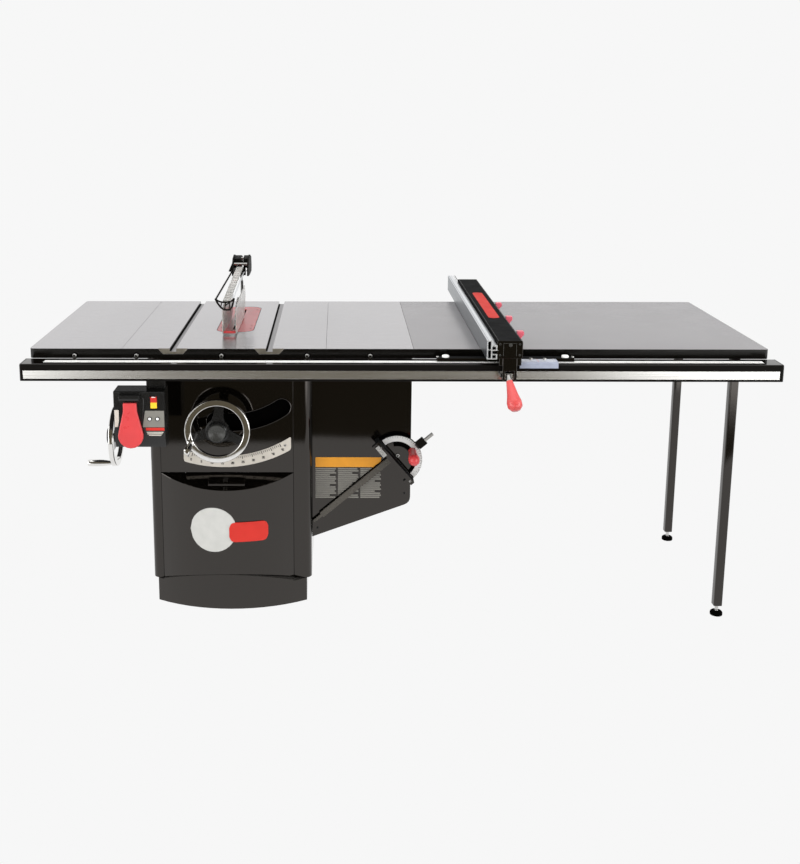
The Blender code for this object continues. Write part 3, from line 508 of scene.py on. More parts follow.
class Shape:
    """Closed solids gathered into one mesh, given in the layout's coordinates."""

    def __init__(self):
        self.bm = bmesh.new()

    def ring(self, points):
        return [self.bm.verts.new(at(*p)) for p in points]

    def skin(self, rings, finish=0, closed=False):
        """Faces between neighbouring rings, with caps unless the rings close on themselves."""
        pairs = list(zip(rings, rings[1:] + rings[:1])) if closed else list(zip(rings, rings[1:]))
        for one, two in pairs:
            count = max(len(one), len(two))
            for k in range(count):
                j = (k + 1) % count
                loop = [one[k % len(one)]]
                if len(one) > 1:
                    loop.append(one[j])
                if len(two) > 1:
                    loop.append(two[j])
                loop.append(two[k % len(two)])
                self.bm.faces.new(loop).material_index = finish
        if not closed:
            for end in (rings[0], rings[-1]):
                if len(end) > 2:
                    self.bm.faces.new(end).material_index = finish

    def prism(self, points, axis, low, high, finish=0):
        place = AXES[axis]
        self.skin([self.ring([place(p, h) for p in points]) for h in (low, high)], finish)

    def box(self, low, high, finish=0):
        outline = [(low[0], low[1]), (high[0], low[1]), (high[0], high[1]), (low[0], high[1])]
        self.prism(outline, "z", low[2], high[2], finish)

    def lathe(self, profile, centre, axis, direction=1, steps=32, finish=0, closed=False):
        """A (radius, height) profile turned about an axis."""
        rings = []
        for r, h in profile:
            ring = [Vector(AXES[axis](p, h * direction)) + Vector(centre) for p in circle(r, steps)]
            rings.append(self.ring(ring))
        self.skin(rings, finish, closed)

    def disc(self, radius, height, centre, axis, direction, steps=24, finish=0):
        """A short round stud that stands on its centre."""
        profile = [(0, 0), (radius, 0), (radius, height), (0, height)]
        self.lathe(profile, centre, axis, direction, steps, finish)

    def tube(self, points, radius, steps=8, finish=0, closed=False):
        """A round wire along a line of points."""
        points = [Vector(p) for p in points]
        rings = []
        count = len(points)
        for i, p in enumerate(points):
            before = points[i - 1] if closed or i else p
            after = points[(i + 1) % count] if closed or i < count - 1 else p
            along = (after - before).normalized()
            side = along.cross(Vector((0, 1, 0)))
            if side.length < 0.1:
                side = along.cross(Vector((0, 0, 1)))
            side.normalize()
            other = along.cross(side)
            rings.append(self.ring([p + side * u + other * v for u, v in circle(radius, steps)]))
        self.skin(rings, finish, closed)

    def screw(self, centre, axis, direction, radius, height, finish=0, dark=1):
        """A socket-head screw: a rounded head with a dark six-sided socket, a thin disc on the head that is
        painted shade for the hole.
        """
        profile = [(0, 0), (radius, 0), (radius, height * 0.75), (radius * 0.86, height), (0, height)]
        self.lathe(profile, centre, axis, direction, 20, finish)
        socket = Vector(centre) + Vector(AXES[axis]((0, 0), 1)) * direction * height * 0.98
        self.disc(radius * 0.5, height * 0.05, socket, axis, direction, 6, dark)

    def done(self, name, finishes, body=None, width=0.0, segments=2, sharp=SHARP, replaces=None):
        """Finish the mesh as one shown piece.  In a CAD node's stead it rides on the node's body."""
        soften(self.bm, width, segments)
        obj = finished(name, self.bm, finishes, body or BODY.get(replaces, "frame"), sharp)
        if replaces:
            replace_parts(obj, replaces)


def rounded(low, high, radius, steps=5):
    """Outline of a rectangle with rounded corners."""
    corners = ((high[0], high[1], 0), (low[0], high[1], 90), (low[0], low[1], 180), (high[0], low[1], 270))
    points = []
    for cx, cy, start in corners:
        ox = cx - radius * (1 if cx == high[0] else -1)
        oy = cy - radius * (1 if cy == high[1] else -1)
        points += arc((ox, oy), radius, start, start + 90, steps)
    return points


STROKES = {  # digits as pen strokes in a cell 2 wide and 4 high
    "0": ((0, 0), (2, 0), (2, 4), (0, 4), (0, 0)),
    "1": ((1, 0), (1, 4)),
    "2": ((0, 4), (2, 4), (2, 2), (0, 2), (0, 0), (2, 0)),
    "3": ((0, 4), (2, 4), (2, 2), (0, 2), (2, 2), (2, 0), (0, 0)),
    "4": ((0, 4), (0, 2), (2, 2), (2, 4), (2, 0)),
    "5": ((2, 4), (0, 4), (0, 2), (2, 2), (2, 0), (0, 0)),
}
PEN = 0.5  # half the pen's width, in cells' units
INK = 0.0003  # how thick a stroke is


def write_number(shape, text, middle, height, y, finish):
    """Draw a number on an upright face, centred on (x, z)."""
    unit = height / 4
    x = middle[0] - unit * (3 * len(text) - 1) / 2
    z = middle[1] - height / 2
    for digit in text:
        path = STROKES[digit]
        for (u0, v0), (u1, v1) in zip(path, path[1:]):
            low = (x + (min(u0, u1) - PEN) * unit, y, z + (min(v0, v1) - PEN) * unit)
            high = (x + (max(u0, u1) + PEN) * unit, y + INK, z + (max(v0, v1) + PEN) * unit)
            shape.box(low, high, finish)
        x += 3 * unit


# ---- tables and rails ----
RAIL_TOP = 0.837
EDGE_Y = -0.0003  # the painted front edge of the castings
BOLT_X = (0.131, 0.312, 0.561, 0.812, 0.997)
BOLT_Z = 0.8425
SLOT_X = (0.419, 0.701)  # middles of the two T-slots
TAPE = (0.058, 2.128)  # ends of the tape along the rail
TAPE_Y = -0.0618
QUARTER_INCH = 0.0254 / 4
FOOT_TOP = 0.03  # below this the legs are steel levelling feet
PAD_TOP = 0.0142  # below this the feet are black pads


def table_side(face):
    """Ground on top, painted round the sides, bare where a slot runs out, dull in the slots."""
    low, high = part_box("table_main")
    if face.normal.z > 0.5:
        on_top = max(v.co.z for v in face.verts) > high.z - 0.004
        return 0 if on_top else 3
    front = min(v.co.y for v in face.verts)
    set_back = low.y + 0.0025 < front < -0.4
    return 2 if face.normal.y < -0.5 and set_back else 1


def leg_finish(face):
    height = face.calc_center_median().z
    if height > FOOT_TOP:
        return 0
    return 2 if height < PAD_TOP else 1


def make_tables():
    refine("table_main", ("iron", "casting", "machined", "trough"), 0.0007, 2, table_side)
    refine("wing_left", ("iron", "casting"), 0.0012, 3, top_first)
    refine("wing_right", ("iron", "casting"), 0.0007, 2, top_first)
    refine("extension_table", ("laminate", "casting"), 0.001, 2, top_first)
    refine("throat_insert", "insert", 0.0004)
    refine("insert_tab", "red", 0.0004)
    for node in ("front_rail", "rail_angle", "rear_rail"):
        refine(node, ("gloss", "coal"), 0.001, 2, front_second)
    refine("rail_cap_left", "satin")
    refine("rail_cap_right", "satin")
    refine("rail_trim", "trim", 0.0002)
    refine("rail_tape", "white", 0.0)
    for node in ("leg_front", "leg_rear"):
        refine(node, ("gloss", "steel", "smoke"), 0.001, 2, leg_finish)

    bolts = Shape()
    for x in BOLT_X:
        # a flat dark disc behind each screw head: painted shade of the hole it sits in
        bolts.disc(0.0095, 0.0008, (x, EDGE_Y, BOLT_Z), "y", -1, 24, 1)
        bolts.screw((x, EDGE_Y - 0.0005, BOLT_Z), "y", -1, 0.0062, 0.0042)
    bolts.done("table_bolts", ("steel", "smoke"))

    marks = Shape()
    low, high = RAIL_TOP + 0.0009, RAIL_TOP + 0.00115
    for k in range(int((TAPE[1] - TAPE[0]) / QUARTER_INCH)):
        x = TAPE[0] + k * QUARTER_INCH
        length = 0.006 if k % 4 else 0.012
        marks.box((x, TAPE_Y, low), (x + 0.0006, TAPE_Y + length, high))
    marks.done("tape_marks", "ink")

    gloom = Shape()
    for x in SLOT_X:
        gloom.box((x - 0.0092, 0.006, TOP - 0.009), (x - 0.0058, 0.756, TOP - 0.0086))
    gloom.done("slot_shade", "smoke")

    edge = Shape()
    outline = rounded((0.5193, 0.2353), (0.6367, 0.6547), 0.0345, 8)
    edge.tube([(x, y, TOP - 0.0002) for x, y in outline], 0.0005, 6, closed=True)
    for x, y in ((0.532, 0.3), (0.532, 0.6), (0.6245, 0.29), (0.6245, 0.335), (0.6245, 0.6)):
        edge.disc(0.0026, 0.0003, (x, y, TOP), "z", 1, 14)
    edge.done("insert_outline", "smoke")


# ---- cabinet ----
PIVOT = (BLADE_X, TOP)  # the blade tilts about this line
CAB_F = 0.157  # the cabinet's flat front
COVER_F = 0.2  # the motor cover's front
DOOR_MID = 0.5555
DOOR_HALF = 0.207
SLOT_R = 0.2705  # middle and half width of the curved slot
SLOT_HALF = 0.0285
SLOT_ENDS = (-11.0, 34.8)  # degrees from straight down


def bow_y(x, side, rise, half, mid):
    """How far back a bowed front stands at x: it starts at side and comes forward by rise in the middle."""
    radius = (half * half + rise * rise) / (2 * rise)
    return side - (math.sqrt(radius * radius - (x - mid) ** 2) - (radius - rise))


def door_y(x):
    return bow_y(x, CAB_F, 0.065, 0.2071, DOOR_MID)


def on_door(shape, outline, out, back, finish):
    """A thin plate that follows the door's bow, cut into upright strips so that it bends."""
    low = min(x for x, z in outline)
    high = max(x for x, z in outline)
    count = 26
    rows = []
    for k in range(count + 1):
        x = low + (high - low) * (k + 0.02) / (count + 0.04)
        crossings = []
        for (xa, za), (xb, zb) in zip(outline, outline[1:] + outline[:1]):
            if (xa - x) * (xb - x) < 0:
                crossings.append(za + (zb - za) * (x - xa) / (xb - xa))
        if len(crossings) == 2:
            near, far = door_y(x) - out, door_y(x) - back
            bottom, top = min(crossings), max(crossings)
            rows.append(shape.ring([(x, near, bottom), (x, near, top), (x, far, top), (x, far, bottom)]))
    shape.skin(rows, finish)


def make_ledge():
    """Closes the gaps behind the plinth's lip with ledges in the lighter top black, which is painted light,
    and the gaps beside the front door with dark upright sheets, which are painted shade.
    """
    ledge = Shape()
    # ledges in the lighter top black: painted light on the plinth's top
    for x0, x1 in ((0.3305, 0.347), (0.764, 0.8035)):
        ledge.box((x0, 0.1578, 0.0752), (x1, 0.2, 0.0796))
    # dark upright sheets in the gaps beside the door: painted shade
    for x0, x1 in ((0.3462, 0.355), (0.756, 0.7648)):
        ledge.box((x0, 0.1578, 0.09), (x1, 0.159, 0.42), 1)
    rows = []
    for k in range(33):
        x = DOOR_MID + 0.2445 * k / 32
        t = (x - DOOR_MID) / DOOR_HALF
        z, far = (0.0781 + 0.036 * (1 - t * t), door_y(x) + 0.005) if t < 1 else (0.075, 0.2)
        near = bow_y(x, CAB_F + 0.006, 0.066, 0.2335, 0.567) - 0.002
        rows.append(ledge.ring([(x, near, z - 0.0025), (x, near, z), (x, far, z), (x, far, z - 0.0025)]))
    ledge.skin(rows)
    ledge.done("plinth_ledge", ("step", "smoke"))


def make_decal():
    """A plain band over three columns of plain rows, where the photo has a printed label."""
    decal = Shape()
    left, right = 0.8315, 1.04
    y = COVER_F - 0.0006
    decal.box((left, y, 0.4325), (right, y + 0.0005, 0.465))
    gap = 0.006
    column = (right - left - 2 * gap) / 3
    for n in range(3):
        start = left + n * (column + gap)
        for k in range(15):
            top = 0.429 - k * 0.0068
            end = start + column * (1.0, 0.94, 1.0, 0.7, 0.97)[(k + n) % 5]
            decal.box((start, y, top - 0.0044), (end, y + 0.0005, top), 1)
    decal.done("cover_decal", ("orange", "panel"), "cover")


def make_cabinet():
    for node in ("cabinet_left", "cabinet_right", "front_panel", "cabinet_back"):
        refine(node, "gloss", 0.0009)
    # up-facing faces of the plinth take the lighter matt black: painted light
    refine("plinth", ("gloss", "step"), 0.0009, 2, lambda f: 1 if f.normal.z > 0.6 else 0)
    refine("front_door", "gloss", 0.0016, 3)
    refine("door_pull", "gloss", 0.0016, 3)
    refine("dust_port", "satin")
    refine("motor_cover", "gloss", 0.0014)
    make_scale()
    make_switch()

    bead = Shape()
    first, last = SLOT_ENDS
    path = sweep(PIVOT, SLOT_R + SLOT_HALF, first, last, 28)
    path += sweep(polar(PIVOT, SLOT_R, last), SLOT_HALF, last, last + 180, 12)[1:-1]
    path += sweep(PIVOT, SLOT_R - SLOT_HALF, last, first, 28)
    path += sweep(polar(PIVOT, SLOT_R, first), SLOT_HALF, first + 180, first + 360, 12)[1:-1]
    bead.tube([(x, CAB_F - 0.0008, z) for x, z in path], 0.0015, closed=True)
    bead.done("slot_bead", "gloss")

    dark = Shape()
    dark.box((0.352, 0.176, 0.5), (0.76, 0.178, 0.826))
    dark.done("cabinet_shadow", "smoke")

    make_ledge()

    badge = Shape()
    on_door(badge, arc((0.5155, 0.2633), 0.0725, 0, 360, 56)[:-1], 0.0022, -0.0006, 0)
    on_door(badge, rounded((0.565, 0.224), (0.685, 0.288), 0.018, 6), 0.0034, 0.0006, 1)
    badge.done("door_badge", ("badge", "scarlet"), "door")

    lip = Shape()
    span = [0.35 + (0.761 - 0.35) * k / 40 for k in range(41)]
    lip.tube([(x, door_y(x) + 0.0006, 0.342 + 0.5382 * door_y(x)) for x in span], 0.0015)
    lip.done("scoop_lip", "gloss", "door")

    cover = Shape()
    for x, z in ((0.84, 0.77), (1.115, 0.77), (0.838, 0.228), (1.115, 0.345)):
        cover.screw((x, COVER_F - 0.0002, z), "y", -1, 0.0034, 0.002)
    cover.done("cover_screws", ("hood", "smoke"), "cover")

    make_decal()


SCALE_C = (0.545, TOP)
SCALE_OUT, SCALE_IN = 0.4165, 0.3805
SCALE_ENDS = (0.4204, 0.7563)  # the scale is cut off upright at both ends
SCALE_TRIM = math.degrees(0.007 / 0.4)  # how much of each long edge a rounded corner takes
SCALE_DEGREE = 0.93  # turn of the scale for each degree of tilt
SCALE_ZERO = -14.6  # degrees from straight down
NUMBER = 0.0062  # height of the figures


def between(a, b, share):
    return tuple(a[n] + (b[n] - a[n]) * share for n in (0, 1))


def bend(a, corner, b):
    """Three points of a rounded corner between a and b."""
    return [between(between(a, corner, t), between(corner, b, t), t) for t in (0.25, 0.5, 0.75)]


def scale_outline():
    """The scale's plate: two arcs joined by upright ends with rounded corners."""
    arcs, corners = [], []
    for radius in (SCALE_OUT, SCALE_IN):
        first, last = (math.degrees(math.asin((x - SCALE_C[0]) / radius)) for x in SCALE_ENDS)
        arcs.append(sweep(SCALE_C, radius, first + SCALE_TRIM, last - SCALE_TRIM, 24))
        corners.append((polar(SCALE_C, radius, first), polar(SCALE_C, radius, last)))
    outer, inner = arcs[0], arcs[1][::-1]
    (low_left, low_right), (high_left, high_right) = corners
    outline = list(outer)
    for before, near, far, after in (
            (outer[-1], low_right, high_right, inner[0]), (inner[-1], high_left, low_left, outer[0])):
        down, up = between(near, far, 0.2), between(far, near, 0.2)
        outline += bend(before, near, down) + [down, up] + bend(up, far, after)
        if after == inner[0]:
            outline += inner
    return outline


def make_scale():
    plate = Shape()
    plate.prism(scale_outline(), "y", CAB_F - 0.0018, CAB_F - 0.0004)
    plate.done("scale_plate", "cream", width=0.0004, replaces="tilt_scale")

    marks = Shape()
    y = CAB_F - 0.0021
    for value in range(46):
        angle = SCALE_ZERO + SCALE_DEGREE * value
        numbered = value % 5 == 0
        low, high = SCALE_IN + 0.002, SCALE_IN + (0.013 if numbered else 0.0097)
        half = 0.16 if numbered else 0.12
        ends = ((low, -half), (low, half), (high, half), (high, -half))
        marks.prism([polar(SCALE_C, radius, angle + turn) for radius, turn in ends], "y", y, y + 0.0004)
        if numbered:
            write_number(marks, str(value), polar(SCALE_C, 0.404, angle), NUMBER, y, 0)
    for angle in (-16.2, 29.2):
        x, z = polar(SCALE_C, 0.395, angle)
        marks.screw((x, CAB_F - 0.0016, z), "y", -1, 0.0042, 0.002, 1, 0)
    marks.done("scale_marks", ("smoke", "steel"))


LABEL_Y = -0.0498  # the back of the labels on the switch box


def make_switch():
    refine("switch_box", "hood", 0.0026, 3)
    refine("stop_paddle", "red", 0.003, 3)

    details = Shape()
    bezel = [(0.27, 0.735), (0.329, 0.735), (0.337, 0.725), (0.337, 0.7), (0.331, 0.65)]
    details.tube([(x, -0.0515, z) for x, z in bezel], 0.0014)
    details.tube([(0.252, -0.0492, 0.7448), (0.3955, -0.0492, 0.7448)], 0.0016)
    label = [(0.2515, 0.6916), (0.2515, 0.6402), (0.26, 0.6402), (0.264, 0.66), (0.264, 0.6916)]
    details.prism(label, "y", LABEL_Y - 0.001, LABEL_Y, 1)
    for x in (0.3538, 0.3766):
        details.disc(0.0064, 0.001, (x, -0.0516, 0.665), "y", -1)
        lens = [(0, 0), (0.0042, 0), (0.0036, 0.0016), (0, 0.0022)]
        details.lathe(lens, (x, -0.0526, 0.665), "y", -1, 20, 2)
    details.box((0.3417, -0.0509, 0.6295), (0.3955, -0.0499, 0.638), 3)
    for k, (x0, x1) in enumerate(((0.344, 0.3925), (0.346, 0.39), (0.35, 0.386))):
        z = 0.6255 - 0.0046 * k
        details.box((x0, -0.0507, z - 0.0026), (x1, -0.0499, z), 1)
    details.done("switch_details", ("hood", "cream", "lamp", "scarlet"))

    plate = Shape()
    outline = [(0.341, 0.6895), (0.396, 0.6895), (0.396, 0.64), (0.333, 0.64)]
    plate.prism(outline, "y", -0.0517, -0.0503)
    plate.done("status_plate", "panel", width=0.0003, replaces="status_panel")

    rocker = Shape()
    x0, x1 = 0.3575, 0.3755
    upper = [(-0.0445, 0.714), (-0.0508, 0.714), (-0.053, 0.73), (-0.052, 0.7312), (-0.0445, 0.7312)]
    lower = [(-0.0445, 0.6968), (-0.052, 0.6968), (-0.053, 0.698), (-0.0508, 0.7139), (-0.0445, 0.7139)]
    rocker.prism(upper, "x", x0, x1)
    rocker.prism(lower, "x", x0, x1, 1)
    # a white strip along the top of the rocker: painted highlight
    rocker.box((x0 + 0.003, -0.053, 0.7297), (x1 - 0.003, -0.05, 0.7314), 2)
    rocker.done("rocker_shell", ("scarlet", "yellow", "white"), width=0.0005, replaces="power_rocker")


# ---- handwheels ----
WHEELS = {  # middle of the rim, axis, angle of the crank, length of the shaft behind
    "elevation": ((0.5355, 0.08, 0.5881), "y", 204, 0.1185),
    "tilt": ((0.1743, 0.34, 0.4919), "x", 256, 0.156),
}
WHEEL_R = 0.0895
SPOKES = (85, 195, 337)
SPOKE_SIDE = [(0.026, 0.0225), (0.036, 0.0185), (0.046, 0.0158), (0.06, 0.0143), (0.0815, 0.015)]
HUB_PROFILE = [
    (0, -0.022), (0.016, -0.022), (0.018, -0.02), (0.025, -0.006), (0.0365, -0.0052),
    (0.0375, -0.004), (0.0375, 0.0024), (0.0365, 0.0036), (0.032, 0.004), (0.029, 0.011),
    (0.0275, 0.0125), (0.024, 0.0138), (0, 0.0138)]
GRIP_PROFILE = [
    (0, 0), (0.0105, 0), (0.0112, 0.0012), (0.0105, 0.003), (0.0068, 0.0045), (0.0072, 0.01),
    (0.0092, 0.022), (0.0108, 0.036), (0.0112, 0.05), (0.0112, 0.074), (0.0108, 0.0805),
    (0.0095, 0.0832), (0.006, 0.0835), (0.0052, 0.0815), (0, 0.0815)]
CAP_PROFILE = [
    (0, 0.0002), (0.0262, 0.0002), (0.0274, 0.003), (0.0272, 0.009), (0.0262, 0.0118),
    (0.0246, 0.013), (0.0228, 0.0124), (0.018, 0.0098), (0.0105, 0.0076), (0.006, 0.008),
    (0.0022, 0.0062), (0, 0.006)]


def make_wheel(kind):
    centre, axis, crank, shaft = WHEELS[kind]

    def spot(r, degrees, h, side=0.0):
        """A point at a radius and angle from the axis, h outwards from the middle of the rim."""
        a = math.radians(degrees)
        u = r * math.cos(a) - side * math.sin(a)
        v = r * math.sin(a) + side * math.cos(a)
        return Vector(centre) + Vector(AXES[axis]((u, v), -h))

    rim = Shape()
    section = []
    for cx, ch, start in ((1, 1, 0), (-1, 1, 90), (-1, -1, 180), (1, -1, 270)):
        section += arc((WHEEL_R + 0.0072 * cx, 0.0047 * ch), 0.0033, start, start + 90, 4)
    rim.lathe(section, centre, axis, -1, 112, 0, True)
    rim.lathe([(0, 0.018), (0.008, 0.018), (0.008, shaft), (0, shaft)], centre, axis, 1, 24, 2)
    rim.lathe(HUB_PROFILE, centre, axis, -1, 56, 1)
    outline = SPOKE_SIDE + [(r, -side) for r, side in reversed(SPOKE_SIDE)]
    for degrees in SPOKES:
        rings = [rim.ring([spot(r, degrees, h, side) for r, side in outline]) for h in (-0.0048, 0.003)]
        rim.skin(rings, 1)
        for sign in (1, -1):
            line = [spot(r, degrees, 0.003, sign * (side - 0.001)) for r, side in SPOKE_SIDE]
            rim.tube(line, 0.0009, 6, 1)
    name = kind + "_wheel"
    rim.done(name + "_shell", ("chrome", "hood", "steel"), sharp=32.0, replaces=name)

    grip = Shape()
    grip.lathe(GRIP_PROFILE, spot(WHEEL_R, crank, 0.0083), axis, -1, 40)
    name = kind + "_crank"
    grip.done(name + "_shell", "chrome", sharp=30.0, replaces=name)

    cap = Shape()
    cap.lathe(CAP_PROFILE, spot(0, 0, 0.0145), axis, -1, 56)
    name = kind + "_lock_knob"
    cap.done(kind + "_cap_shell", "cap", sharp=46.0, replaces=name)


# ---- machinery ----
MOTOR_AT = (0.546, 0.47, TOP - 0.345)
BLADE_AT = (0.4, TOP - 0.048)  # the blade's centre, Y and Z
BLADE_R = 0.1262
BORE_R = 0.0083
TEETH = 40
GULLET = ((0.0, 0), (0.3, 0.0016), (0.52, 0.0062), (0.74, 0.0092), (0.9, 0.0075), (0.97, 0.003))
CARBIDE = ((0.12, 0.0006), (0.1266, 0.0012), (0.1266, -0.002), (0.12, -0.0012))


def make_machinery():
    refine("trunnion", "casting", 0.001)
    for node in ("arbor", "arbor_block", "brake_cartridge"):
        refine(node, "steel", 0.0003)
    refine("riving_knife", "satin", 0.0002)
    refine("drive_belt", "rubber")
    refine("pawl", "satin", 0.0002)
    for kind in WHEELS:
        make_wheel(kind)
    make_blade()
    make_guard()
    make_motor()


def make_motor():
    """A finned barrel with a foot, and a grooved pulley on its shaft."""
    body = Shape()
    barrel = [
        (0, 0.001), (0.05, 0.001), (0.063, 0.007), (0.066, 0.014), (0.066, 0.148), (0.06, 0.164),
        (0.044, 0.172), (0, 0.172)]
    pulley = [
        (0, -0.026), (0.008, -0.026), (0.008, -0.024), (0.03, -0.024), (0.03, -0.012),
        (0.008, -0.012), (0.008, 0.001), (0, 0.001)]
    fin = [(0.0655, 0), (0.0688, 0.0008), (0.0688, 0.0022), (0.0655, 0.003)]
    x, y, z = MOTOR_AT
    body.lathe(barrel, MOTOR_AT, "x", 1, 48)
    body.lathe(pulley, MOTOR_AT, "x", 1, 40, 1)
    for k in range(12):
        body.lathe(fin, (x + 0.02 + k * 0.0105, y, z), "x", 1, 40, 0, True)
    body.box((0.489, y + 0.046, z - 0.029), (0.594, y + 0.059, z + 0.029))
    body.done("motor_shell", ("motor", "steel"), replaces="motor")


def make_blade():
    """A ten-inch blade with carbide-tipped teeth and gullets."""
    blade = Shape()
    y, z = BLADE_AT

    def around(points):
        return [(y + u, z + v) for u, v in points]

    outline = []
    for k in range(TEETH):
        for part, depth in GULLET:
            a = -2 * math.pi * (k + part) / TEETH
            outline.append(((BLADE_R - depth) * math.cos(a), (BLADE_R - depth) * math.sin(a)))
    count = len(outline)
    bore = arc((0, 0), BORE_R, 0, -360, count)[:-1]
    sides = []
    for x in (BLADE_X - 0.0009, BLADE_X + 0.0009):
        for edge in (outline, bore):
            sides.append(blade.ring([(x, *p) for p in around(edge)]))
    blade.skin([sides[0], sides[2], sides[3], sides[1]], 0, True)
    for k in range(TEETH):
        a = -2 * math.pi * (k + 0.04) / TEETH
        u, v = math.cos(a), math.sin(a)
        tooth = around([(r * u + s * v, r * v - s * u) for r, s in CARBIDE])
        blade.prism(tooth, "x", BLADE_X - 0.0012, BLADE_X + 0.0012, 1)
    blade.done("blade_shell", ("steel", "alu"), sharp=25.0, replaces="blade")


# ---- guard ----
NOSE_Y = 0.159  # the guard's light nose frame
NOSE_TOP = [
    (0.5285, 0.9835), (0.533, 0.979), (0.541, 0.9745), (0.552, 0.972), (0.564, 0.972),
    (0.575, 0.9745), (0.582, 0.979), (0.586, 0.9845)]
NOSE_LOW = [
    (0.5285, 0.9835), (0.535, 0.97), (0.545, 0.956), (0.556, 0.949), (0.5725, 0.9485),
    (0.58, 0.96), (0.586, 0.9845)]
NOSE_BARS = (
    ((0.545, 0.956), (0.548, 0.973)), ((0.557, 0.949), (0.56, 0.972)),
    ((0.57, 0.9485), (0.573, 0.974)), ((0.557, 0.96), (0.57, 0.97)))
YOKE_SIDE = [
    (0.56, 0.988), (0.612, 0.984), (0.69, 0.986), (0.699, 1.0), (0.692, 1.036), (0.64, 1.0505),
    (0.59, 1.044), (0.562, 1.018)]
YOKE_BLOCK = [(0.6, 1.01), (0.69, 1.01), (0.69, 1.036), (0.642, 1.048), (0.6, 1.042)]
YOKE_WEDGES = (
    [(0.5475, 1.044), (0.548, 0.9935), (0.527, 0.9985)],
    [(0.56, 1.018), (0.585, 1.0095), (0.5845, 0.9905), (0.5684, 0.9723)])
SPINE_BACK = Vector((0.569, 0.56, 1.02))
SPINE_FRONT = Vector((0.5615, 0.166, 0.977))
SPINE_RIBS = 14
SHIELD_SIDE = [
    (0.172, 0.884), (0.176, 0.872), (0.184, 0.8668), (0.47, 0.8668), (0.51, 0.89),
    (0.524, 0.93), (0.512, 0.964), (0.3, 0.96), (0.182, 0.95), (0.173, 0.94)]


def make_yoke():
    """The guard's black head with its cross pins, two thin rods forward and a light nose frame."""
    yoke = Shape()
    for x0, x1 in ((0.542, 0.5475), (0.593, 0.5985)):
        yoke.prism(YOKE_SIDE, "x", x0, x1)
    for x0, x1 in ((0.5475, 0.57), (0.578, 0.593)):
        yoke.prism(YOKE_BLOCK, "x", x0, x1)
    for y, z in ((0.584, 1.026), (0.625, 1.04), (0.676, 1.02)):
        yoke.disc(0.0042, 0.0565, (0.542, y, z), "x", 1, 16, 1)
    yoke.box((0.578, 0.566, 0.99), (0.588, 0.578, 1.012))
    for wedge in YOKE_WEDGES:
        yoke.prism(wedge, "y", 0.596, 0.602)
    yoke.box((0.556, 0.566, 0.99), (0.566, 0.58, 1.012))
    yoke.tube([(0.544, 0.575, 1.006), (0.531, 0.158, 0.983)], 0.0028, 10)
    yoke.tube([(0.5965, 0.59, 1.006), (0.584, 0.536, 1.004), (0.5836, 0.158, 0.9835)], 0.002, 10, 2)
    for path, radius in ((NOSE_TOP, 0.0026), (NOSE_LOW, 0.003)):
        yoke.tube([(x, NOSE_Y, z) for x, z in path], radius)
    for bar in NOSE_BARS:
        yoke.tube([(x, NOSE_Y, z) for x, z in bar], 0.0016, 6)
    yoke.done("guard_yoke", ("coal", "steel", "alu"), width=0.0006, replaces="guard_frame")


def make_spine():
    """The ribbed window over the blade, between two thin rails."""
    spine = Shape()
    for k in range(SPINE_RIBS):
        rings = []
        for share in (k / SPINE_RIBS, (k + 0.86) / SPINE_RIBS):
            x, y, z = SPINE_BACK + (SPINE_FRONT - SPINE_BACK) * share
            section = ((-0.009, 0), (0.0095, 0), (0.0095, -0.005), (-0.009, -0.005))
            rings.append(spine.ring([(x + u, y, z + v) for u, v in section]))
        spine.skin(rings)
    for x0, x1 in ((0.5595, 0.5525), (0.5785, 0.5705)):
        spine.tube([(x0, 0.56, 1.017), (x1, 0.166, 0.9745)], 0.0022)
    spine.done("guard_spine", "haze", BODY["guard_frame"], 0.0006)


def make_guard():
    make_yoke()
    make_spine()

    foot = Shape()
    foot.box((0.5495, 0.185, 0.87), (0.5865, 0.1875, 0.877))
    foot.done("shield_foot", "red", BODY["shield_left"])

    for node, x in (("shield_left", 0.547), ("shield_right", 0.5876)):
        shield = Shape()
        shield.prism(SHIELD_SIDE, "x", x, x + 0.002)
        shield.tube([(x + 0.001, y, z) for y, z in SHIELD_SIDE], 0.0012, 6, closed=True)
        shield.done(node + "_shell", "haze", replaces=node)


# ---- fence and gauge ----
FENCE_X = 1.3495  # left side of the fence's tube
FENCE_END = -0.1299  # its front end
HEAD_X = 1.387  # middle of the head and the lever
PAD_Z = 0.8489  # top of the head's bar, where the glide pads stand
CURSOR_TOP = 0.8472
KNOB_Z = 0.898
KNOB_Y = (0.018, 0.24, 0.47)
KNOB_WING = [
    (0, 0.0165), (0.018, 0.0165), (0.0196, 0.0125), (0.0196, 0.006), (0.013, -0.001),
    (0.0085, -0.013), (0.0045, -0.0165), (0, -0.0165)]
KNOB_HALF = 0.0085  # half the wing's thickness


def make_fence():
    # the fence face's left-facing sides take a darker copy of its aluminium: painted shade
    refine("fence_face", ("alu", "alu_side"), 0.0004, 2, lambda f: 1 if f.normal.x < -0.5 else 0)
    refine("fence_tube", ("matt", "gloss"), 0.0009, 2, front_second)
    refine("fence_head", ("matt", "gloss"), 0.001, 2, top_first)
    refine("fence_lever", "steel", 0.0012)
    refine("lever_handle", "grip", 0.0)
    make_fence_details(BODY["fence_tube"])
    make_cursor()
    for n, y in enumerate(KNOB_Y, 1):
        make_face_knob("face_knob_%d" % n, y)


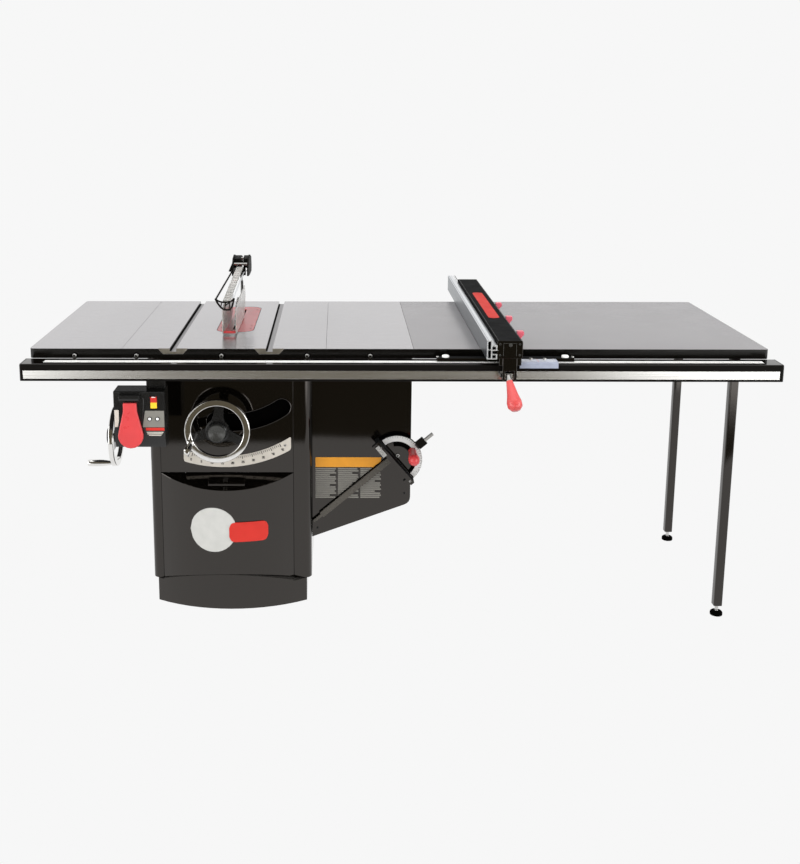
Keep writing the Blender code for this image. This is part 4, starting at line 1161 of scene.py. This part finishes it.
def make_fence_details(body):
    stripe = Shape()
    stripe.prism(rounded((1.369, 0.195), (1.403, 0.645), 0.016, 8), "z", 0.9171, 0.9177)
    for x in (FENCE_X + 0.0042, FENCE_X + 0.0683):
        stripe.tube([(x, -0.128, 0.917), (x, 0.93, 0.917)], 0.0005, 6, 1)
    stripe.done("fence_stripe", ("scarlet", "cap"), body)

    grooves = Shape()
    for x0, x1, finish in ((1.3232, 1.3246, 0), (1.3392, 1.3402, 0), (1.344, 1.3462, 1)):
        grooves.box((x0, -0.136, 0.9199), (x1, 0.999, 0.9202), finish)
    grooves.done("fence_grooves", ("alu_side", "smoke"), body)

    ends = Shape()
    for x in (FENCE_X + 0.0085, FENCE_X + 0.064):
        for z in (0.876, 0.9075):
            ends.screw((x, FENCE_END, z), "y", -1, 0.003, 0.0016)
    button = [(0, 0), (0.0055, 0), (0.005, 0.0022), (0, 0.0026)]
    ends.lathe(button, (HEAD_X, FENCE_END, 0.905), "y", -1, 20)
    frame_line = [(0.018, 0.8735), (0.018, 0.91), (0.0545, 0.91), (0.0545, 0.8735)]
    ends.tube([(FENCE_X + x, FENCE_END - 0.0004, z) for x, z in frame_line], 0.0008, 6)
    pin = [(0, 0), (0.0065, 0), (0.0065, 0.003), (0.005, 0.004), (0, 0.004)]
    for side in (-1, 1):
        ends.lathe(pin, (HEAD_X + 0.0206 * side, -0.1085, 0.812), "x", side, 20, 2)
    ends.done("fence_end_fittings", ("cap", "smoke", "gloss"), body)

    pads = Shape()
    pad = [(0, 0), (0.0105, 0), (0.0105, 0.004), (0.0085, 0.006), (0, 0.0064)]
    for x in (1.214, 1.56):
        pads.lathe(pad, (x, -0.0395, PAD_Z), "z", 1, 28)
    for x in (1.1905, 1.582):
        pads.screw((x, -0.0395, PAD_Z), "z", 1, 0.004, 0.003, 1, 2)
    pads.done("fence_pads", ("white", "steel", "smoke"), body)


def make_cursor():
    """An acrylic block over the tape, with two screws, a red hairline and two white strips that are painted
    highlights on its ridges.
    """
    cursor = Shape()
    under = RAIL_TOP + 0.0019
    profile = [
        (-0.095, 0.8292), (-0.095, 0.844), (-0.0905, CURSOR_TOP), (-0.0538, CURSOR_TOP),
        (-0.0538, under), (-0.0886, under), (-0.0886, 0.8292)]
    cursor.prism(profile, "x", 1.4207, 1.5309)
    for x in (1.457, 1.497):
        cursor.screw((x, -0.064, CURSOR_TOP), "z", 1, 0.0048, 0.0048, 1, 2)
    low = CURSOR_TOP + 0.00005
    cursor.box((1.475, -0.09, low), (1.4756, -0.056, low + 0.00035), 3)
    # two white strips across the top: painted highlights
    for y in (-0.06, -0.08):
        cursor.box((1.426, y, low), (1.526, y + 0.0022, low + 0.00025), 4)
    finishes = ("cursor", "steel", "smoke", "scarlet", "white")
    cursor.done("cursor_shell", finishes, width=0.0009, replaces="fence_cursor")


def make_face_knob(name, y):
    """A knob with a one-sided wing on a round stem."""
    knob = Shape()
    stem = [(0, 0), (0.009, 0), (0.009, 0.0045), (0.007, 0.007), (0, 0.007)]
    knob.lathe(stem, (FENCE_X + 0.0731, y, KNOB_Z), "x", 1, 28, 1)
    wing = [(FENCE_X + 0.0782 + u, KNOB_Z + v) for u, v in KNOB_WING]
    knob.prism(wing, "y", y - KNOB_HALF, y + KNOB_HALF)
    knob.done(name + "_shell", ("pink", "steel"), width=0.0022, segments=3, replaces=name)


TIP = Vector((0.825, 0.253))  # lower end of the stored gauge's bar, X and Z
LEAN = math.radians(40.5)
ALONG = Vector((math.cos(LEAN), math.sin(LEAN)))
ACROSS = Vector((math.sin(LEAN), -math.cos(LEAN)))
HUB = TIP + ALONG * 0.334  # where the head turns on the bar
BAR_SHADE = (
    (-0.334, -0.0085), (-0.334, 0.005), (-0.3, 0.005), (-0.3, 0.0102), (0.0, 0.0102),
    (0.0, -0.0128), (-0.3, -0.0128), (-0.3, -0.0085))
SCALE_MID = (0.004, 0.01)  # centre of the head's scale, along and across from the hub


def on_gauge(pairs):
    """Points on the cover's face from distances along and across the bar, from the hub."""
    return [tuple(HUB + ALONG * a + ACROSS * c) for a, c in pairs]


def on_gauge_box(a0, a1, c0, c1):
    """A rectangle between two distances along the bar and two across it."""
    return on_gauge(((a0, c0), (a0, c1), (a1, c1), (a1, c0)))


def make_gauge():
    refine("gauge_bar", "bar", 0.0008)
    # a very dark plate just behind the bar that shows past its edges: painted shadow of the bar on the cover
    shade = Shape()
    shade.prism(on_gauge(BAR_SHADE), "y", 0.1972, 0.1982)
    shade.done("gauge_bar_painted_shadow", "smoke", BODY["gauge_bar"])
    refine("gauge_head", ("gloss", "matt"), 0.0007, 2, lambda f: 1 - front_second(f))
    refine("gauge_knob", "red", 0.0)
    refine("gauge_stop", "hood", 0.0005)

    body = BODY["gauge_head"]
    marks = Shape()
    band = arc(SCALE_MID, 0.0792, -86, 86, 28) + arc(SCALE_MID, 0.061, 86, -86, 28)
    marks.prism(on_gauge(band), "y", 0.1735, 0.1739)
    for k in range(25):
        degrees = -72 + 6 * k
        low = 0.074 if k % 2 else 0.072
        tick = arc(SCALE_MID, low, degrees - 0.35, degrees + 0.35, 1)
        tick += arc(SCALE_MID, 0.0785, degrees + 0.35, degrees - 0.35, 1)
        marks.prism(on_gauge(tick), "y", 0.1732, 0.1736, 1)
    crescent = arc(SCALE_MID, 0.0606, -60, 86, 28) + arc(SCALE_MID, 0.049, 86, -60, 28)
    marks.prism(on_gauge(crescent), "y", 0.1735, 0.1738, 2)
    marks.done("gauge_scale", ("scale", "ink", "smoke"), body)

    bits = Shape()
    x, z = on_gauge([(0.016, 0.0)])[0]
    bits.screw((x, 0.1739, z), "y", -1, 0.0065, 0.004)
    for x, z in on_gauge([(-0.0015, -0.065), (-0.0015, 0.078)]):
        bits.screw((x, 0.1329, z), "y", -1, 0.0036, 0.0022)
    bits.prism(on_gauge_box(-0.015, -0.002, -0.074, -0.034), "y", 0.1312, 0.1332)
    bits.prism(on_gauge_box(0.0855, 0.1135, 0.0015, 0.0265), "y", 0.1592, 0.173, 2)
    bits.prism(on_gauge_box(0.1135, 0.1455, 0.0105, 0.0185), "y", 0.1596, 0.1724)
    bits.done("gauge_fittings", ("steel", "smoke", "coal"), body)


make_camera()
make_studio()
make_tables()
make_cabinet()
make_machinery()
make_fence()
make_gauge()
